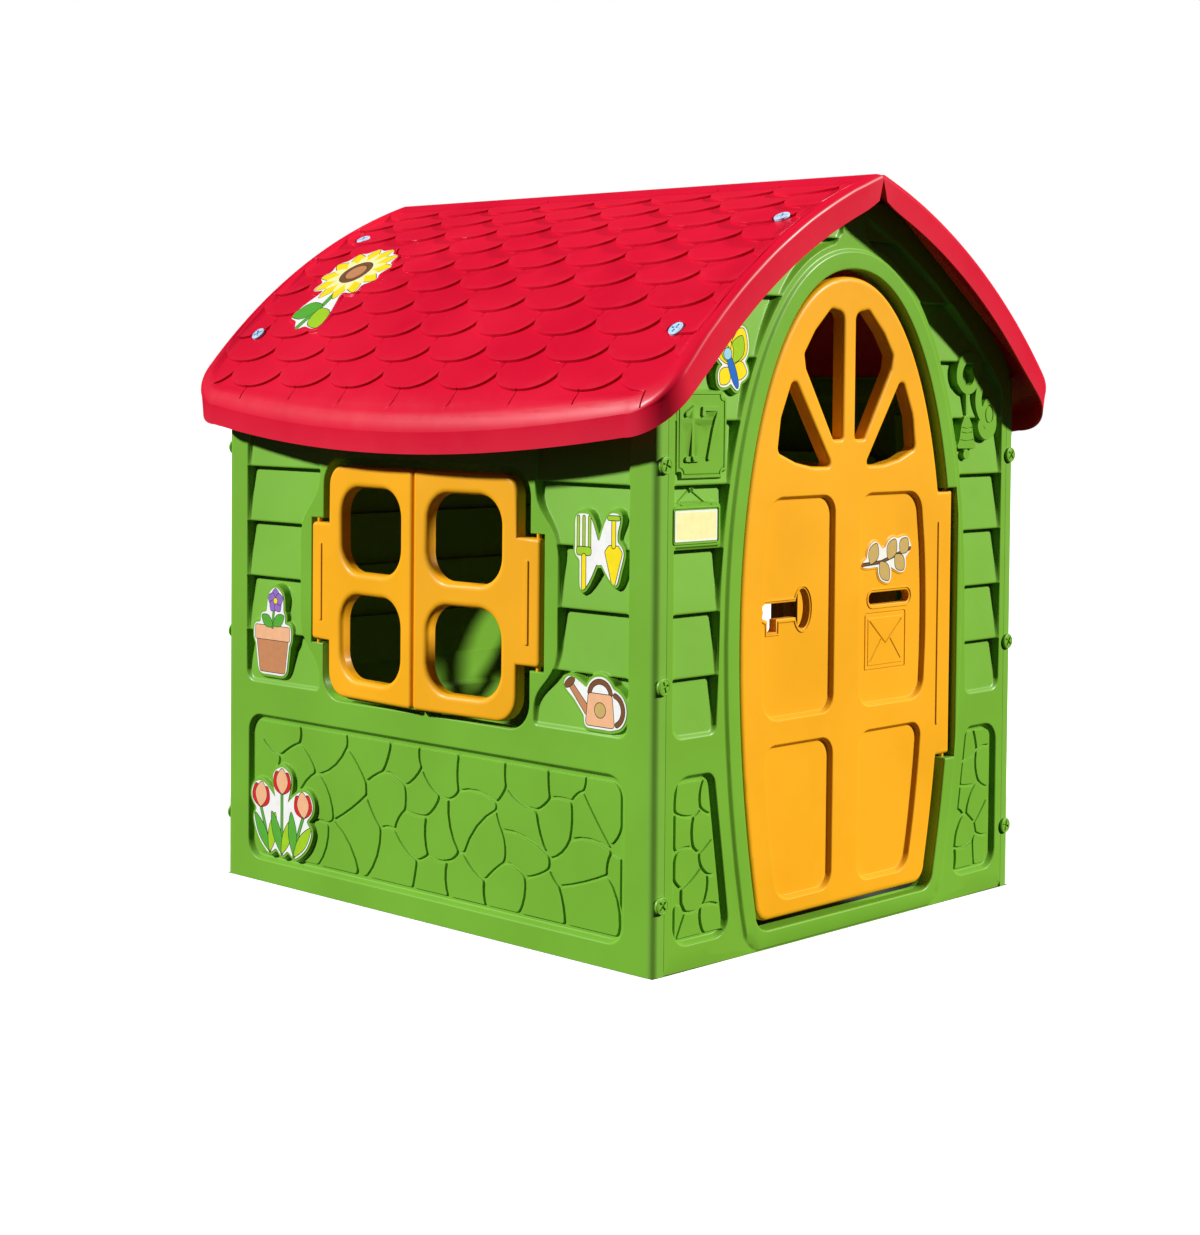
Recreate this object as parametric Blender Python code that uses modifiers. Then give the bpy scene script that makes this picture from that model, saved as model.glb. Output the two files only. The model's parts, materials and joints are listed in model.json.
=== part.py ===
"""Plastic garden playhouse: four moulded wall panels, a two-piece shingle roof, an arched door,
two pairs of window shutters, corner and roof screws, and flat decorative stickers.

Frame: metres, +Z up, the floor at Z = 0, the ridge along Y above X = 0. The door wall faces -Y and
the window walls face -X and +X. Each moulded piece is a skin of constant thickness with its edges
turned in, built from a flat layout (u, v) and a relief height h that grows outwards.
"""

import math

import bmesh
import bpy
import numpy as np
from mathutils import Matrix, Vector
from mathutils.geometry import delaunay_2d_cdt

# ---------------------------------------------------------------- overall sizes
HALF_WIDTH = 0.460          # half the house width across the window walls (X)
HALF_DEPTH = 0.5105         # half the house depth across the door and back walls (Y)
SIDE_HEIGHT = 0.885         # top of the window walls
SKIN = 0.003                # moulded wall thickness
GAP = 0.0004                # clearance between pieces that touch
CORNER_STEPS = 3            # straight pieces in each rounded corner
LINE_END = 0.0005           # layout lines stop this far short of the outline they meet

# ---------------------------------------------------------------- roof profile
RIDGE_X = 0.0034            # each roof half starts this far from the ridge plane
RIDGE_Z = 1.2065
ROOF_HALF_LENGTH = 0.567
ROOF_SLOPE_AT_RIDGE = math.radians(18.5)
ROOF_BEND = math.radians(54.5)        # slope gained per metre on the long upper bend
ROOF_BEND_END = 0.5635                # arc length where the eave bend begins
EAVE_BEND = math.radians(97.8)        # slope gained per metre near the eave
EAVE_ARC = 0.6882                     # arc length from ridge to eave at mid length
EAVE_BOW = 0.18                       # the eave rises by this times Y squared
EAVE_CORNER = 0.080
ROOF_RIM_WIDTH = 0.030
ROOF_RIM_SLOPE = 0.008
ROOF_FIELD_DROP = 0.006
ROOF_EDGE_ROUND = 0.009
FASCIA_DEPTH = 0.046
EAVE_FASCIA_DEPTH = 0.038
EAVE_FASCIA_ANGLE = math.radians(10.0)  # the eave's fascia drops at this angle to the vertical
EAVE_TURN_START = 0.50                 # arc length where the fascia starts turning to the vertical
EAVE_TURN_LENGTH = 0.14
FIELD_FADE = 0.80                      # share of the sunk field's depth lost towards the eave
RIDGE_LIP = 0.018
ROOF_LEAN = math.radians(27.0)        # turns the ridge ends of the fascia away from each other
ROOF_LEAN_ARC = 0.070

# ---------------------------------------------------------------- wall relief
PLANK_PITCH = 0.0953
PLANK_LINE = 0.7220
PLANK_SHALLOW = 0.003
PLANK_DEEP = 0.015
PLANK_STEP = 0.0015
PLANK_BOTTOM = 0.345
POCKET_SLOPE = 0.008
POCKET_ROUND = 0.022
GABLE_BORDER = 0.052
STONE_BOTTOM = 0.036
STONE_TOP = 0.292
STONE_DEPTH = 0.009
STONE_ROUND = 0.034
CORNER_ROUND = 0.012
RETURN_FLANGE = 0.024       # window walls wrap this far round the corners
RETURN_EDGE = HALF_WIDTH - RETURN_FLANGE
LIP_EDGE = 0.448            # half width of the door and back walls, lips included
LIP_STEP = 0.0004
FOOT_RISE = 0.006
WALL_FLANGE = 0.020
TOP_FLANGE = 0.025
PLAIN_EDGE = 0.004
ROOF_CLEARANCE = 0.0128     # wall top below the roof's outer reference surface
GABLE_FLAT_Z = 1.164

# ---------------------------------------------------------------- door and its opening
OPENING_HALF = 0.2745
OPENING_WIDEST_Z = 0.480
OPENING_CROWN_Z = 1.0555
OPENING_BOTTOM_Z = 0.030
OPENING_POWER = 2.15
OPENING_TAPER = 0.255
OPENING_CORNER = 0.030
OPENING_FLANGE = 0.026
OPENING_ROUND = 0.003
BAND_WIDTH = 0.034
BAND_SLOPE = 0.006
BAND_HEIGHT = 0.004
BAND_TO_PLANKS = 0.042
NOTCH_X = 0.289
NOTCH_Z = (0.2445, 0.7000)
DOOR_GAP = 0.0115
DOOR_SET_BACK = 0.005
DOOR_THICKNESS = 0.022
DOOR_ROUND = 0.008
BLOCK_X = 0.286
BLOCK_Z = (0.2495, 0.6950)
DOOR_AXIS_X = 0.274
DOOR_AXIS_H = -0.014
PANEL_INSET = 0.050
PANEL_CENTRE_GAP = 0.032
PANEL_DEPTH = 0.008
PANEL_SLOPE = 0.007
PANEL_ROUND = 0.038
PANEL_HEIGHTS = ((0.350, 0.699), (0.067, 0.314))
FAN_ROUND = 0.006
SMALL_ROUND = 0.0015

# ---------------------------------------------------------------- window and shutters
WINDOW_HALF = 0.248
WINDOW_Z = (0.3355, 0.7425)
WINDOW_TOP_ROUND = 0.050
WINDOW_BOTTOM_ROUND = 0.060
WINDOW_NOTCH = 0.2792
WINDOW_NOTCH_Z = (0.4290, 0.6400)
SILL_STOP = (-0.004, 0.021)
SILL_STOP_Z = 0.3415
SURROUND_NARROW = 0.257
SURROUND_WIDE = 0.308
SURROUND_SHOULDERS = (0.395, 0.440, 0.635, 0.685)
SHUTTER_AXIS_Y = 0.2637
SHUTTER_AXIS_H = -0.005
SHUTTER_THICKNESS = 0.020
SHUTTER_ROUND = 0.006
SHUTTER_BLOCK = (-0.010, 0.038)
SHUTTER_BLOCK_Z = (0.4355, 0.6335)
SHUTTER_END = 0.2630
SHUTTER_Z = (0.3445, 0.7305)
SHUTTER_ROUND_TOP = 0.034
SHUTTER_ROUND_BOTTOM = 0.046
SHUTTER_AJAR = math.radians(3.6)
PANE_U = (0.073, 0.231)
PANE_Z = ((0.377, 0.517), (0.555, 0.695))
PANE_CORNER = 0.046
PANE_ROUND = 0.008

# ---------------------------------------------------------------- hinge pins and screws
PIN_RADIUS = 0.0040
PIN_HOLE = 0.00408
PIN_SIDES = 24
PIN_REACH = 0.0105
HEAD_RADIUS = 0.0130
SCREW_SIDES = 12
HEAD_HEIGHT = 0.0045
HEAD_BEVEL = 0.0012
SLOT_REACH = 0.62            # half length of the cross slot as a share of the head radius
SLOT_WIDTH = 0.0032
SLOT_DEPTH = 0.0016
SHANK_RADIUS = 0.0030
SHANK_HOLE = 0.0036
SHANK_SIDES = 8
SHANK_LENGTH = 0.0210
CORNER_SCREW_X = 0.4440
CORNER_SCREW_Z = (0.1063, 0.4284, 0.7527)
ROOF_SCREW_Y = 0.497
ROOF_SCREW_X = (0.168, 0.410)
ROOF_DIMPLE = 0.0020

# ---------------------------------------------------------------- stickers
STICKER_THICKNESS = 0.0005
STICKER_BOSS = 0.004
BOSS_SLOPE = 0.003


# ================================================================ flat geometry helpers
def rounded_polygon(corners):
    """Closed outline from (x, y, radius) corners, each turned into an arc."""
    loop = []
    total = len(corners)
    for index, (x, y, radius) in enumerate(corners):
        here = Vector((x, y))
        before = Vector(corners[index - 1][:2]) - here
        after = Vector(corners[(index + 1) % total][:2]) - here
        if radius <= 0.0:
            loop.append((x, y))
            continue
        angle = before.angle(after)
        reach = radius / math.tan(angle / 2.0)
        start = here + before.normalized() * reach
        end = here + after.normalized() * reach
        middle = (before.normalized() + after.normalized()).normalized()
        centre = here + middle * (radius / math.sin(angle / 2.0))
        first = math.atan2(start.y - centre.y, start.x - centre.x)
        last = math.atan2(end.y - centre.y, end.x - centre.x)
        turn = (last - first + math.pi) % (2.0 * math.pi) - math.pi
        for step in range(CORNER_STEPS + 1):
            a = first + turn * step / CORNER_STEPS
            loop.append((centre.x + radius * math.cos(a), centre.y + radius * math.sin(a)))
    return loop


def box_loop(u0, v0, u1, v1, radius):
    return rounded_polygon([(u0, v0, radius), (u1, v0, radius), (u1, v1, radius), (u0, v1, radius)])


def ellipse_loop(cu, cv, ru, rv, count):
    steps = [2.0 * math.pi * k / count for k in range(count)]
    return [(cu + ru * math.cos(a), cv + rv * math.sin(a)) for a in steps]


def offset_loop(loop, distance):
    """Move a counter-clockwise loop inwards (positive) or outwards (negative)."""
    points = np.array(loop)
    after = np.roll(points, -1, axis=0) - points
    after /= np.linalg.norm(after, axis=1)[:, None]
    before = np.roll(after, 1, axis=0)
    n1 = np.stack([-before[:, 1], before[:, 0]], axis=1)
    n2 = np.stack([-after[:, 1], after[:, 0]], axis=1)
    spread = np.maximum(1.0 + (n1 * n2).sum(axis=1), 0.35)
    moved = points + distance * (n1 + n2) / spread[:, None]
    return [tuple(p) for p in moved]


def inside(points, loop):
    """Even-odd test of many points against one closed loop."""
    a = np.array(loop)
    b = np.roll(a, -1, axis=0)
    x = points[:, 0][:, None]
    y = points[:, 1][:, None]
    crosses = (a[None, :, 1] > y) != (b[None, :, 1] > y)
    rise = b[None, :, 1] - a[None, :, 1]
    rise = np.where(rise == 0.0, 1e-12, rise)
    at = a[None, :, 0] + (y - a[None, :, 1]) * (b[None, :, 0] - a[None, :, 0]) / rise
    return (crosses & (x < at)).sum(axis=1) % 2 == 1


def depth_inside(points, loop):
    """Signed distance to a closed loop, positive inside."""
    a = np.array(loop)
    b = np.roll(a, -1, axis=0)
    edge = b - a
    length = np.maximum((edge ** 2).sum(axis=1), 1e-18)
    rel = points[:, None, :] - a[None, :, :]
    t = np.clip((rel * edge[None]).sum(axis=2) / length[None], 0.0, 1.0)
    gap = np.linalg.norm(rel - t[:, :, None] * edge[None], axis=2).min(axis=1)
    return np.where(inside(points, loop), gap, -gap)


def spans(loop, v):
    """The u ranges where the horizontal line at v lies inside the loop."""
    hits = []
    for index, (u0, v0) in enumerate(loop):
        u1, v1 = loop[(index + 1) % len(loop)]
        if (v0 > v) != (v1 > v):
            hits.append(u0 + (v - v0) * (u1 - u0) / (v1 - v0))
    hits.sort()
    return list(zip(hits[0::2], hits[1::2]))


def eased(distance, radius):
    """Height of a rounded edge: zero at one radius in, minus the radius at the rim."""
    t = np.clip(distance, 0.0, radius)
    return np.sqrt(np.maximum(radius ** 2 - (radius - t) ** 2, 0.0)) - radius


def easing_steps(radius):
    return [radius * (1.0 - math.cos(math.radians(a))) for a in (45.0, 90.0)]


# ================================================================ triangulated skins
def triangulate(loops, lines):
    """Triangles inside loops[0] and outside the other loops, with every line as an edge."""
    points = []
    edges = []
    for loop in loops:
        start = len(points)
        count = len(loop)
        points.extend(Vector(p) for p in loop)
        edges.extend((start + k, start + (k + 1) % count) for k in range(count))
    for line in lines:
        start = len(points)
        points.extend(Vector(p) for p in line)
        edges.extend((start + k, start + k + 1) for k in range(len(line) - 1))
    flat, _, faces, _, _, _ = delaunay_2d_cdt(points, edges, [], 0, 1e-7)
    layout = np.array([(p[0], p[1]) for p in flat])
    triangles = np.array(faces)
    centres = layout[triangles].mean(axis=1)
    keep = inside(centres, loops[0])
    for hole in loops[1:]:
        keep &= ~inside(centres, hole)
    kept = triangles[keep]
    used = np.unique(kept)
    renumber = -np.ones(len(layout), dtype=int)
    renumber[used] = np.arange(len(used))
    return layout[used], renumber[kept]


def border_chains(triangles):
    """Directed border loops of a triangle set: counter-clockwise outside, clockwise at holes."""
    directed = set()
    for a, b, c in triangles:
        directed.update(((a, b), (b, c), (c, a)))
    following = {a: b for a, b in directed if (b, a) not in directed}
    chains = []
    while following:
        first = next(iter(following))
        chain = [first]
        at = following.pop(first)
        while at != first:
            chain.append(at)
            at = following.pop(at)
        chains.append(chain)
    return chains


def signed_area(points):
    x = points[:, 0]
    y = points[:, 1]
    return 0.5 * float(np.sum(x * np.roll(y, -1) - np.roll(x, -1) * y))


def matching_chain(chain, layout, others, other_layout):
    """The chain on the inner skin that runs beside this chain of the outer skin."""
    here = layout[chain]
    turn = signed_area(here) > 0.0
    best = None
    for other in others:
        there = other_layout[other]
        if (signed_area(there) > 0.0) != turn:
            continue
        away = np.linalg.norm(here.mean(axis=0) - there.mean(axis=0))
        away += abs(abs(signed_area(here)) - abs(signed_area(there)))
        if best is None or away < best[0]:
            best = (away, other)
    return best[1]


def moulded(outline, holes, outer_height, inner_height, edge_depth, place, turn_in,
            outer_lines, inner_lines):
    """Vertices and faces of one closed moulded skin with its edges turned in."""
    outer_layout, outer_faces = triangulate([outline] + holes, outer_lines)
    inner_outline = offset_loop(outline, SKIN)
    inner_holes = [offset_loop(hole, -SKIN) for hole in holes]
    inner_layout, inner_faces = triangulate([inner_outline] + inner_holes, inner_lines)
    vertices = [place(outer_layout, outer_height(outer_layout))]
    vertices.append(place(inner_layout, inner_height(inner_layout)))
    faces = [tuple(f) for f in outer_faces]
    base = len(outer_layout)
    faces += [tuple(base + np.array(f)[::-1]) for f in inner_faces]
    count = base + len(inner_layout)
    outer_chains = border_chains(outer_faces)
    inner_chains = border_chains(inner_faces)
    for chain in outer_chains:
        other = matching_chain(chain, outer_layout, inner_chains, inner_layout)
        near = outer_layout[chain]
        far = inner_layout[other]
        vertices.append(turn_in(near, edge_depth(near)))
        vertices.append(turn_in(far, edge_depth(far)))
        low = count
        deep = count + len(chain)
        count = deep + len(other)
        for k in range(len(chain)):
            n = (k + 1) % len(chain)
            faces.append((chain[n], chain[k], low + k, low + n))
        for k in range(len(other)):
            n = (k + 1) % len(other)
            faces.append((base + other[k], base + other[n], deep + n, deep + k))
        rings = [near, far] if signed_area(near) > 0.0 else [far, near]
        starts = [low, deep] if signed_area(near) > 0.0 else [deep, low]
        ring_layout, ring_faces = triangulate([list(map(tuple, r)) for r in rings], [])
        lookup = []
        for point in ring_layout:
            to_first = np.linalg.norm(rings[0] - point, axis=1)
            to_second = np.linalg.norm(rings[1] - point, axis=1)
            if to_first.min() <= to_second.min():
                lookup.append(starts[0] + int(to_first.argmin()))
            else:
                lookup.append(starts[1] + int(to_second.argmin()))
        faces += [tuple(lookup[i] for i in f[::-1]) for f in ring_faces]
    return np.concatenate(vertices), faces


# ================================================================ object helpers
def clear_scene():
    for item in list(bpy.data.objects):
        bpy.data.objects.remove(item, do_unlink=True)
    for group in list(bpy.data.collections):
        bpy.data.collections.remove(group)


def new_collection(name):
    group = bpy.data.collections.new(name)
    bpy.context.scene.collection.children.link(group)
    return group


def plastic(name, colour, roughness):
    material = bpy.data.materials.new(name)
    material.use_nodes = True
    shader = material.node_tree.nodes["Principled BSDF"]
    shader.inputs["Base Color"].default_value = (*colour, 1.0)
    shader.inputs["Roughness"].default_value = roughness
    material.diffuse_color = (*colour, 1.0)
    return material


def add_object(group, name, vertices, faces, colour, roughness=0.35, origin=(0.0, 0.0, 0.0)):
    mesh = bpy.data.meshes.new(name)
    shifted = [Vector(v) - Vector(origin) for v in vertices]
    mesh.from_pydata(shifted, [], [tuple(int(i) for i in f) for f in faces])
    cleaner = bmesh.new()
    cleaner.from_mesh(mesh)
    bmesh.ops.remove_doubles(cleaner, verts=cleaner.verts, dist=1e-6)
    bmesh.ops.dissolve_degenerate(cleaner, edges=cleaner.edges, dist=1e-7)
    bmesh.ops.recalc_face_normals(cleaner, faces=cleaner.faces)
    cleaner.to_mesh(mesh)
    cleaner.free()
    mesh.materials.append(plastic(name, colour, roughness))
    item = bpy.data.objects.new(name, mesh)
    item.location = origin
    group.objects.link(item)
    return item


def add_cutter(group, target, rods):
    """Cut round holes through a target: each rod is (start, end, radius, sides)."""
    vertices = []
    faces = []
    for start, end, radius, sides in rods:
        rod_vertices, rod_faces = rod(start, end, radius, sides)
        faces += [tuple(len(vertices) + i for i in f) for f in rod_faces]
        vertices += rod_vertices
    cutter = add_object(group, target.name + "_holes", vertices, faces, (0.5, 0.5, 0.5))
    cutter.hide_render = True
    cutter.display_type = "WIRE"
    cut = target.modifiers.new("screw_holes", "BOOLEAN")
    cut.operation = "DIFFERENCE"
    cut.solver = "EXACT"
    cut.object = cutter


def rod(start, end, radius, count):
    """A closed cylinder between two points."""
    a = Vector(start)
    b = Vector(end)
    turn = (b - a).to_track_quat("Z", "Y").to_matrix().to_4x4()
    form = bmesh.new()
    bmesh.ops.create_cone(form, cap_ends=True, segments=count, radius1=radius, radius2=radius,
                          depth=(b - a).length, matrix=Matrix.Translation((a + b) / 2.0) @ turn)
    form.verts.index_update()
    vertices = [tuple(v.co) for v in form.verts]
    faces = [tuple(v.index for v in f.verts) for f in form.faces]
    form.free()
    return vertices, faces


# ================================================================ roof profile
def roof_slope(s):
    upper = ROOF_SLOPE_AT_RIDGE + ROOF_BEND * np.minimum(s, ROOF_BEND_END)
    return upper + EAVE_BEND * np.maximum(s - ROOF_BEND_END, 0.0)


def roof_point(s, h):
    """X and Z on the right roof half at arc length s from the ridge, h above the reference."""
    s = np.asarray(s, dtype=float)
    first = np.minimum(s, ROOF_BEND_END)
    a = ROOF_SLOPE_AT_RIDGE + ROOF_BEND * first
    x = RIDGE_X + (np.sin(a) - math.sin(ROOF_SLOPE_AT_RIDGE)) / ROOF_BEND
    z = RIDGE_Z - (math.cos(ROOF_SLOPE_AT_RIDGE) - np.cos(a)) / ROOF_BEND
    b = roof_slope(s)
    x = x + (np.sin(b) - np.sin(a)) / EAVE_BEND
    z = z - (np.cos(a) - np.cos(b)) / EAVE_BEND
    return x + np.sin(b) * h, z + np.cos(b) * h


def arc_at_x(x, h):
    """Arc length where the surface h above the reference passes a given X."""
    s = np.linspace(0.0, EAVE_ARC, 4000)
    xs, _ = roof_point(s, h)
    return float(np.interp(x, xs, s))


def eave_arc(y):
    return EAVE_ARC - EAVE_BOW * y * y


# ================================================================ outlines shared by pieces
def arch_half_width(z, grow):
    """Half width of the door arch at height z, grown outwards by a margin."""
    half = OPENING_HALF + grow
    crown = OPENING_CROWN_Z - OPENING_WIDEST_Z + grow
    if z >= OPENING_WIDEST_Z:
        ratio = min((z - OPENING_WIDEST_Z) / crown, 1.0)
        return half * (1.0 - ratio ** OPENING_POWER) ** (1.0 / OPENING_POWER)
    return half - OPENING_TAPER * (OPENING_WIDEST_Z - z) ** 2


def arch_loop(grow, notch_x=None, notch_z=None):
    """The door arch as a counter-clockwise loop, with an optional square notch on the right."""
    crown = OPENING_CROWN_Z + grow
    bottom = OPENING_BOTTOM_Z - grow
    right = []
    corner = OPENING_CORNER
    foot = arch_half_width(bottom + corner, grow)
    for step in range(5):
        a = math.radians(-90.0 + 90.0 * step / 4)
        u = foot - corner * (1.0 - math.cos(a))
        right.append((u, bottom + corner * (1.0 + math.sin(a))))
    for z in np.linspace(bottom + corner + 0.045, OPENING_WIDEST_Z, 6):
        right.append((arch_half_width(z, grow), z))
    power = OPENING_POWER
    for step in range(1, 16):
        a = math.radians(90.0 * step / 16)
        u = (OPENING_HALF + grow) * math.cos(a) ** (2.0 / power)
        v = OPENING_WIDEST_Z + (crown - OPENING_WIDEST_Z) * math.sin(a) ** (2.0 / power)
        right.append((u, v))
    left = [(-u, v) for u, v in reversed(right)]
    if notch_x is not None:
        low, high = notch_z
        below = [p for p in right if p[1] < low - 0.004]
        above = [p for p in right if p[1] > high + 0.004]
        notch = [(arch_half_width(low, grow), low), (notch_x, low),
                 (notch_x, high), (arch_half_width(high, grow), high)]
        right = below + notch + above
    return right + [(0.0, crown)] + left


def gable_line(border, outer_x, inner_x, count):
    """Points that run beside the roof from outer_x up to inner_x at a fixed depth below it."""
    start = arc_at_x(outer_x, -border)
    end = arc_at_x(inner_x, -border)
    x, z = roof_point(np.linspace(start, end, count), -border)
    return list(zip(x.tolist(), z.tolist()))


def plank_pocket():
    """The right-hand recess of lapped planks between the door arch and the corner."""
    outer = 0.4225
    rise = gable_line(GABLE_BORDER, outer, 0.026, 12)
    inner = []
    for step in range(2, 16):
        a = math.radians(90.0 - 90.0 * step / 16)
        u = (OPENING_HALF + BAND_TO_PLANKS) * math.cos(a) ** (2.0 / OPENING_POWER)
        crown = OPENING_CROWN_Z + BAND_TO_PLANKS
        v = OPENING_WIDEST_Z + (crown - OPENING_WIDEST_Z) * math.sin(a) ** (2.0 / OPENING_POWER)
        if u > 0.034:
            inner.append((u, v))
    inner.append((0.3180, 0.440))
    shape = [(0.3215, PLANK_BOTTOM, 0.016), (outer, PLANK_BOTTOM, POCKET_ROUND)]
    shape += [(u, v, 0.0) for u, v in rise]
    shape += [(0.028, 1.112, 0.0)]
    shape += [(u, v, 0.0) for u, v in inner]
    return rounded_polygon(shape)


def back_pocket():
    """The wide recess of planks on the closed back wall."""
    outer = 0.4225
    right = gable_line(GABLE_BORDER, outer, 0.030, 12)
    left = [(-u, v) for u, v in reversed(right)]
    shape = [(-outer, PLANK_BOTTOM, POCKET_ROUND), (outer, PLANK_BOTTOM, POCKET_ROUND)]
    shape += [(u, v, 0.0) for u, v in right + left]
    return rounded_polygon(shape)


def side_pocket():
    """The recess of planks to the right of a window."""
    low, wide_low, wide_high, high = SURROUND_SHOULDERS
    return rounded_polygon([
        (SURROUND_NARROW, PLANK_BOTTOM, 0.010), (0.458, PLANK_BOTTOM, POCKET_ROUND),
        (0.458, 0.850, 0.020), (SURROUND_NARROW, 0.850, 0.020),
        (SURROUND_NARROW, high, 0.012), (SURROUND_WIDE, wide_high, 0.018),
        (SURROUND_WIDE, wide_low, 0.018), (SURROUND_NARROW, low, 0.012)])


def mirrored(loop):
    return [(-u, v) for u, v in reversed(loop)]


def window_loop():
    """Window opening with notches for the hinge blocks and a stop on the sill."""
    bottom, top = WINDOW_Z
    notch_low, notch_high = WINDOW_NOTCH_Z
    stop_low, stop_high = SILL_STOP
    return rounded_polygon([
        (-WINDOW_HALF, bottom, WINDOW_BOTTOM_ROUND), (stop_low, bottom, 0.0),
        (stop_low, SILL_STOP_Z, 0.0), (stop_high, SILL_STOP_Z, 0.0), (stop_high, bottom, 0.0),
        (WINDOW_HALF, bottom, WINDOW_BOTTOM_ROUND),
        (WINDOW_HALF, notch_low, 0.0), (WINDOW_NOTCH, notch_low, 0.0),
        (WINDOW_NOTCH, notch_high, 0.0), (WINDOW_HALF, notch_high, 0.0),
        (WINDOW_HALF, top, WINDOW_TOP_ROUND), (-WINDOW_HALF, top, WINDOW_TOP_ROUND),
        (-WINDOW_HALF, notch_high, 0.0), (-WINDOW_NOTCH, notch_high, 0.0),
        (-WINDOW_NOTCH, notch_low, 0.0), (-WINDOW_HALF, notch_low, 0.0)])


def plank_depth(v):
    """Depth of the lapped planks: shallow at a plank's foot, deep under the next one."""
    along = np.mod(v - PLANK_LINE, PLANK_PITCH)
    rise = PLANK_PITCH - PLANK_STEP
    ramp = PLANK_SHALLOW + (PLANK_DEEP - PLANK_SHALLOW) * np.minimum(along / rise, 1.0)
    back = np.clip((along - rise) / PLANK_STEP, 0.0, 1.0)
    return ramp - (PLANK_DEEP - PLANK_SHALLOW) * back


def plank_lines(pocket):
    """Pairs of layout lines at the step under each plank."""
    low = min(v for _, v in pocket)
    high = max(v for _, v in pocket)
    lines = []
    first = math.ceil((low - PLANK_LINE) / PLANK_PITCH)
    last = math.floor((high - PLANK_LINE) / PLANK_PITCH)
    for index in range(first, last + 1):
        z = PLANK_LINE + index * PLANK_PITCH
        for v in (z, z - PLANK_STEP):
            if low + 0.001 < v < high - 0.001:
                lines += [[(u0 + LINE_END, v), (u1 - LINE_END, v)]
                          for u0, u1 in spans(pocket, v) if u1 - u0 > 0.004]
    return lines


def ring_lines(loop, distances):
    lines = []
    for distance in distances:
        ring = offset_loop(loop, distance) if distance else list(loop)
        lines.append(ring + ring[:1])
    return lines


# ================================================================ stickers (outline, wall, place)
def petal_outline(cu, cv, size_u, size_v, lobes, dip, count):
    """A soft die-cut outline with rounded lobes."""
    loop = []
    for k in range(count):
        a = 2.0 * math.pi * k / count
        reach = 1.0 - dip * (0.5 - 0.5 * math.cos(lobes * a))
        loop.append((cu + size_u * reach * math.cos(a), cv + size_v * reach * math.sin(a)))
    return loop


# u runs along each wall as seen from outside, so on the -X wall u = -Y
SIDE_STICKERS = {
    "sticker_flowerpot": petal_outline(-0.3840, 0.4295, 0.052, 0.078, 4, 0.10, 12),
    "sticker_tulips": petal_outline(-0.3560, 0.1235, 0.098, 0.068, 5, 0.10, 15),
    "sticker_watering_can": petal_outline(0.3900, 0.3920, 0.066, 0.044, 4, 0.10, 12),
    "sticker_tools": petal_outline(0.3950, 0.6190, 0.062, 0.056, 4, 0.08, 12),
}
FRONT_STICKERS = {
    "sticker_butterfly": petal_outline(-0.3000, 0.9170, 0.052, 0.047, 4, 0.12, 12),
    "sticker_label": box_loop(-0.4210, 0.6405, -0.3260, 0.6870, 0.003),
}
DOOR_STICKER = petal_outline(0.1130, 0.5900, 0.070, 0.031, 4, 0.12, 12)
ROOF_STICKER = petal_outline(0.3550, -0.3930, 0.118, 0.112, 5, 0.10, 15)
NUMBER_PLATE = rounded_polygon([
    (-0.4080, 0.7330, 0.0), (-0.3180, 0.7330, 0.0), (-0.3180, 0.7430, 0.0), (-0.3080, 0.7430, 0.0),
    (-0.3080, 0.8500, 0.0), (-0.3180, 0.8500, 0.0), (-0.3180, 0.8600, 0.0), (-0.4080, 0.8600, 0.0),
    (-0.4080, 0.8500, 0.0), (-0.4180, 0.8500, 0.0), (-0.4180, 0.7430, 0.0), (-0.4080, 0.7430, 0.0)])
NAME_PLAQUE = box_loop(-0.4255, 0.6340, -0.3215, 0.6935, 0.005)


# ================================================================ wall relief functions
def wall_relief(points, plank_pockets, stone_pockets, bosses):
    height = np.zeros(len(points))
    for pocket in plank_pockets:
        share = np.clip(depth_inside(points, pocket) / POCKET_SLOPE, 0.0, 1.0)
        height -= share * plank_depth(points[:, 1])
    for pocket in stone_pockets:
        share = np.clip(depth_inside(points, pocket) / POCKET_SLOPE, 0.0, 1.0)
        height -= share * STONE_DEPTH
    for boss in bosses:
        share = np.clip(1.0 + depth_inside(points, boss) / BOSS_SLOPE, 0.0, 1.0)
        height *= 1.0 - share
    return height


def relief_lines(plank_pockets, stone_pockets, bosses):
    lines = []
    for pocket in plank_pockets:
        lines += ring_lines(pocket, (0.0, POCKET_SLOPE))
        lines += plank_lines(pocket)
    for pocket in stone_pockets:
        lines += ring_lines(pocket, (0.0, POCKET_SLOPE))
    for boss in bosses:
        lines += ring_lines(boss, (0.0, -BOSS_SLOPE))
    return lines


def gable_outline():
    """Outer edge of the door wall and the back wall, feet and top included."""
    top = gable_line(ROOF_CLEARANCE, LIP_EDGE, 0.075, 14)
    top = [p for p in top if p[1] < GABLE_FLAT_Z]
    last_x = float(np.interp(GABLE_FLAT_Z, [top[-1][1], RIDGE_Z], [top[-1][0], 0.0]))
    top.append((last_x, GABLE_FLAT_Z))
    inner = RETURN_EDGE - GAP
    right = [(inner, 0.0), (inner, FOOT_RISE), (LIP_EDGE, FOOT_RISE)] + top
    left = [(-u, v) for u, v in reversed(right)]
    return right + left


def lip_drop(points):
    """The door and back walls step in where the window walls wrap over them."""
    past = np.abs(points[:, 0]) - (RETURN_EDGE - GAP - LIP_STEP)
    return -(SKIN + GAP) * np.clip(past / LIP_STEP, 0.0, 1.0)


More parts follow.
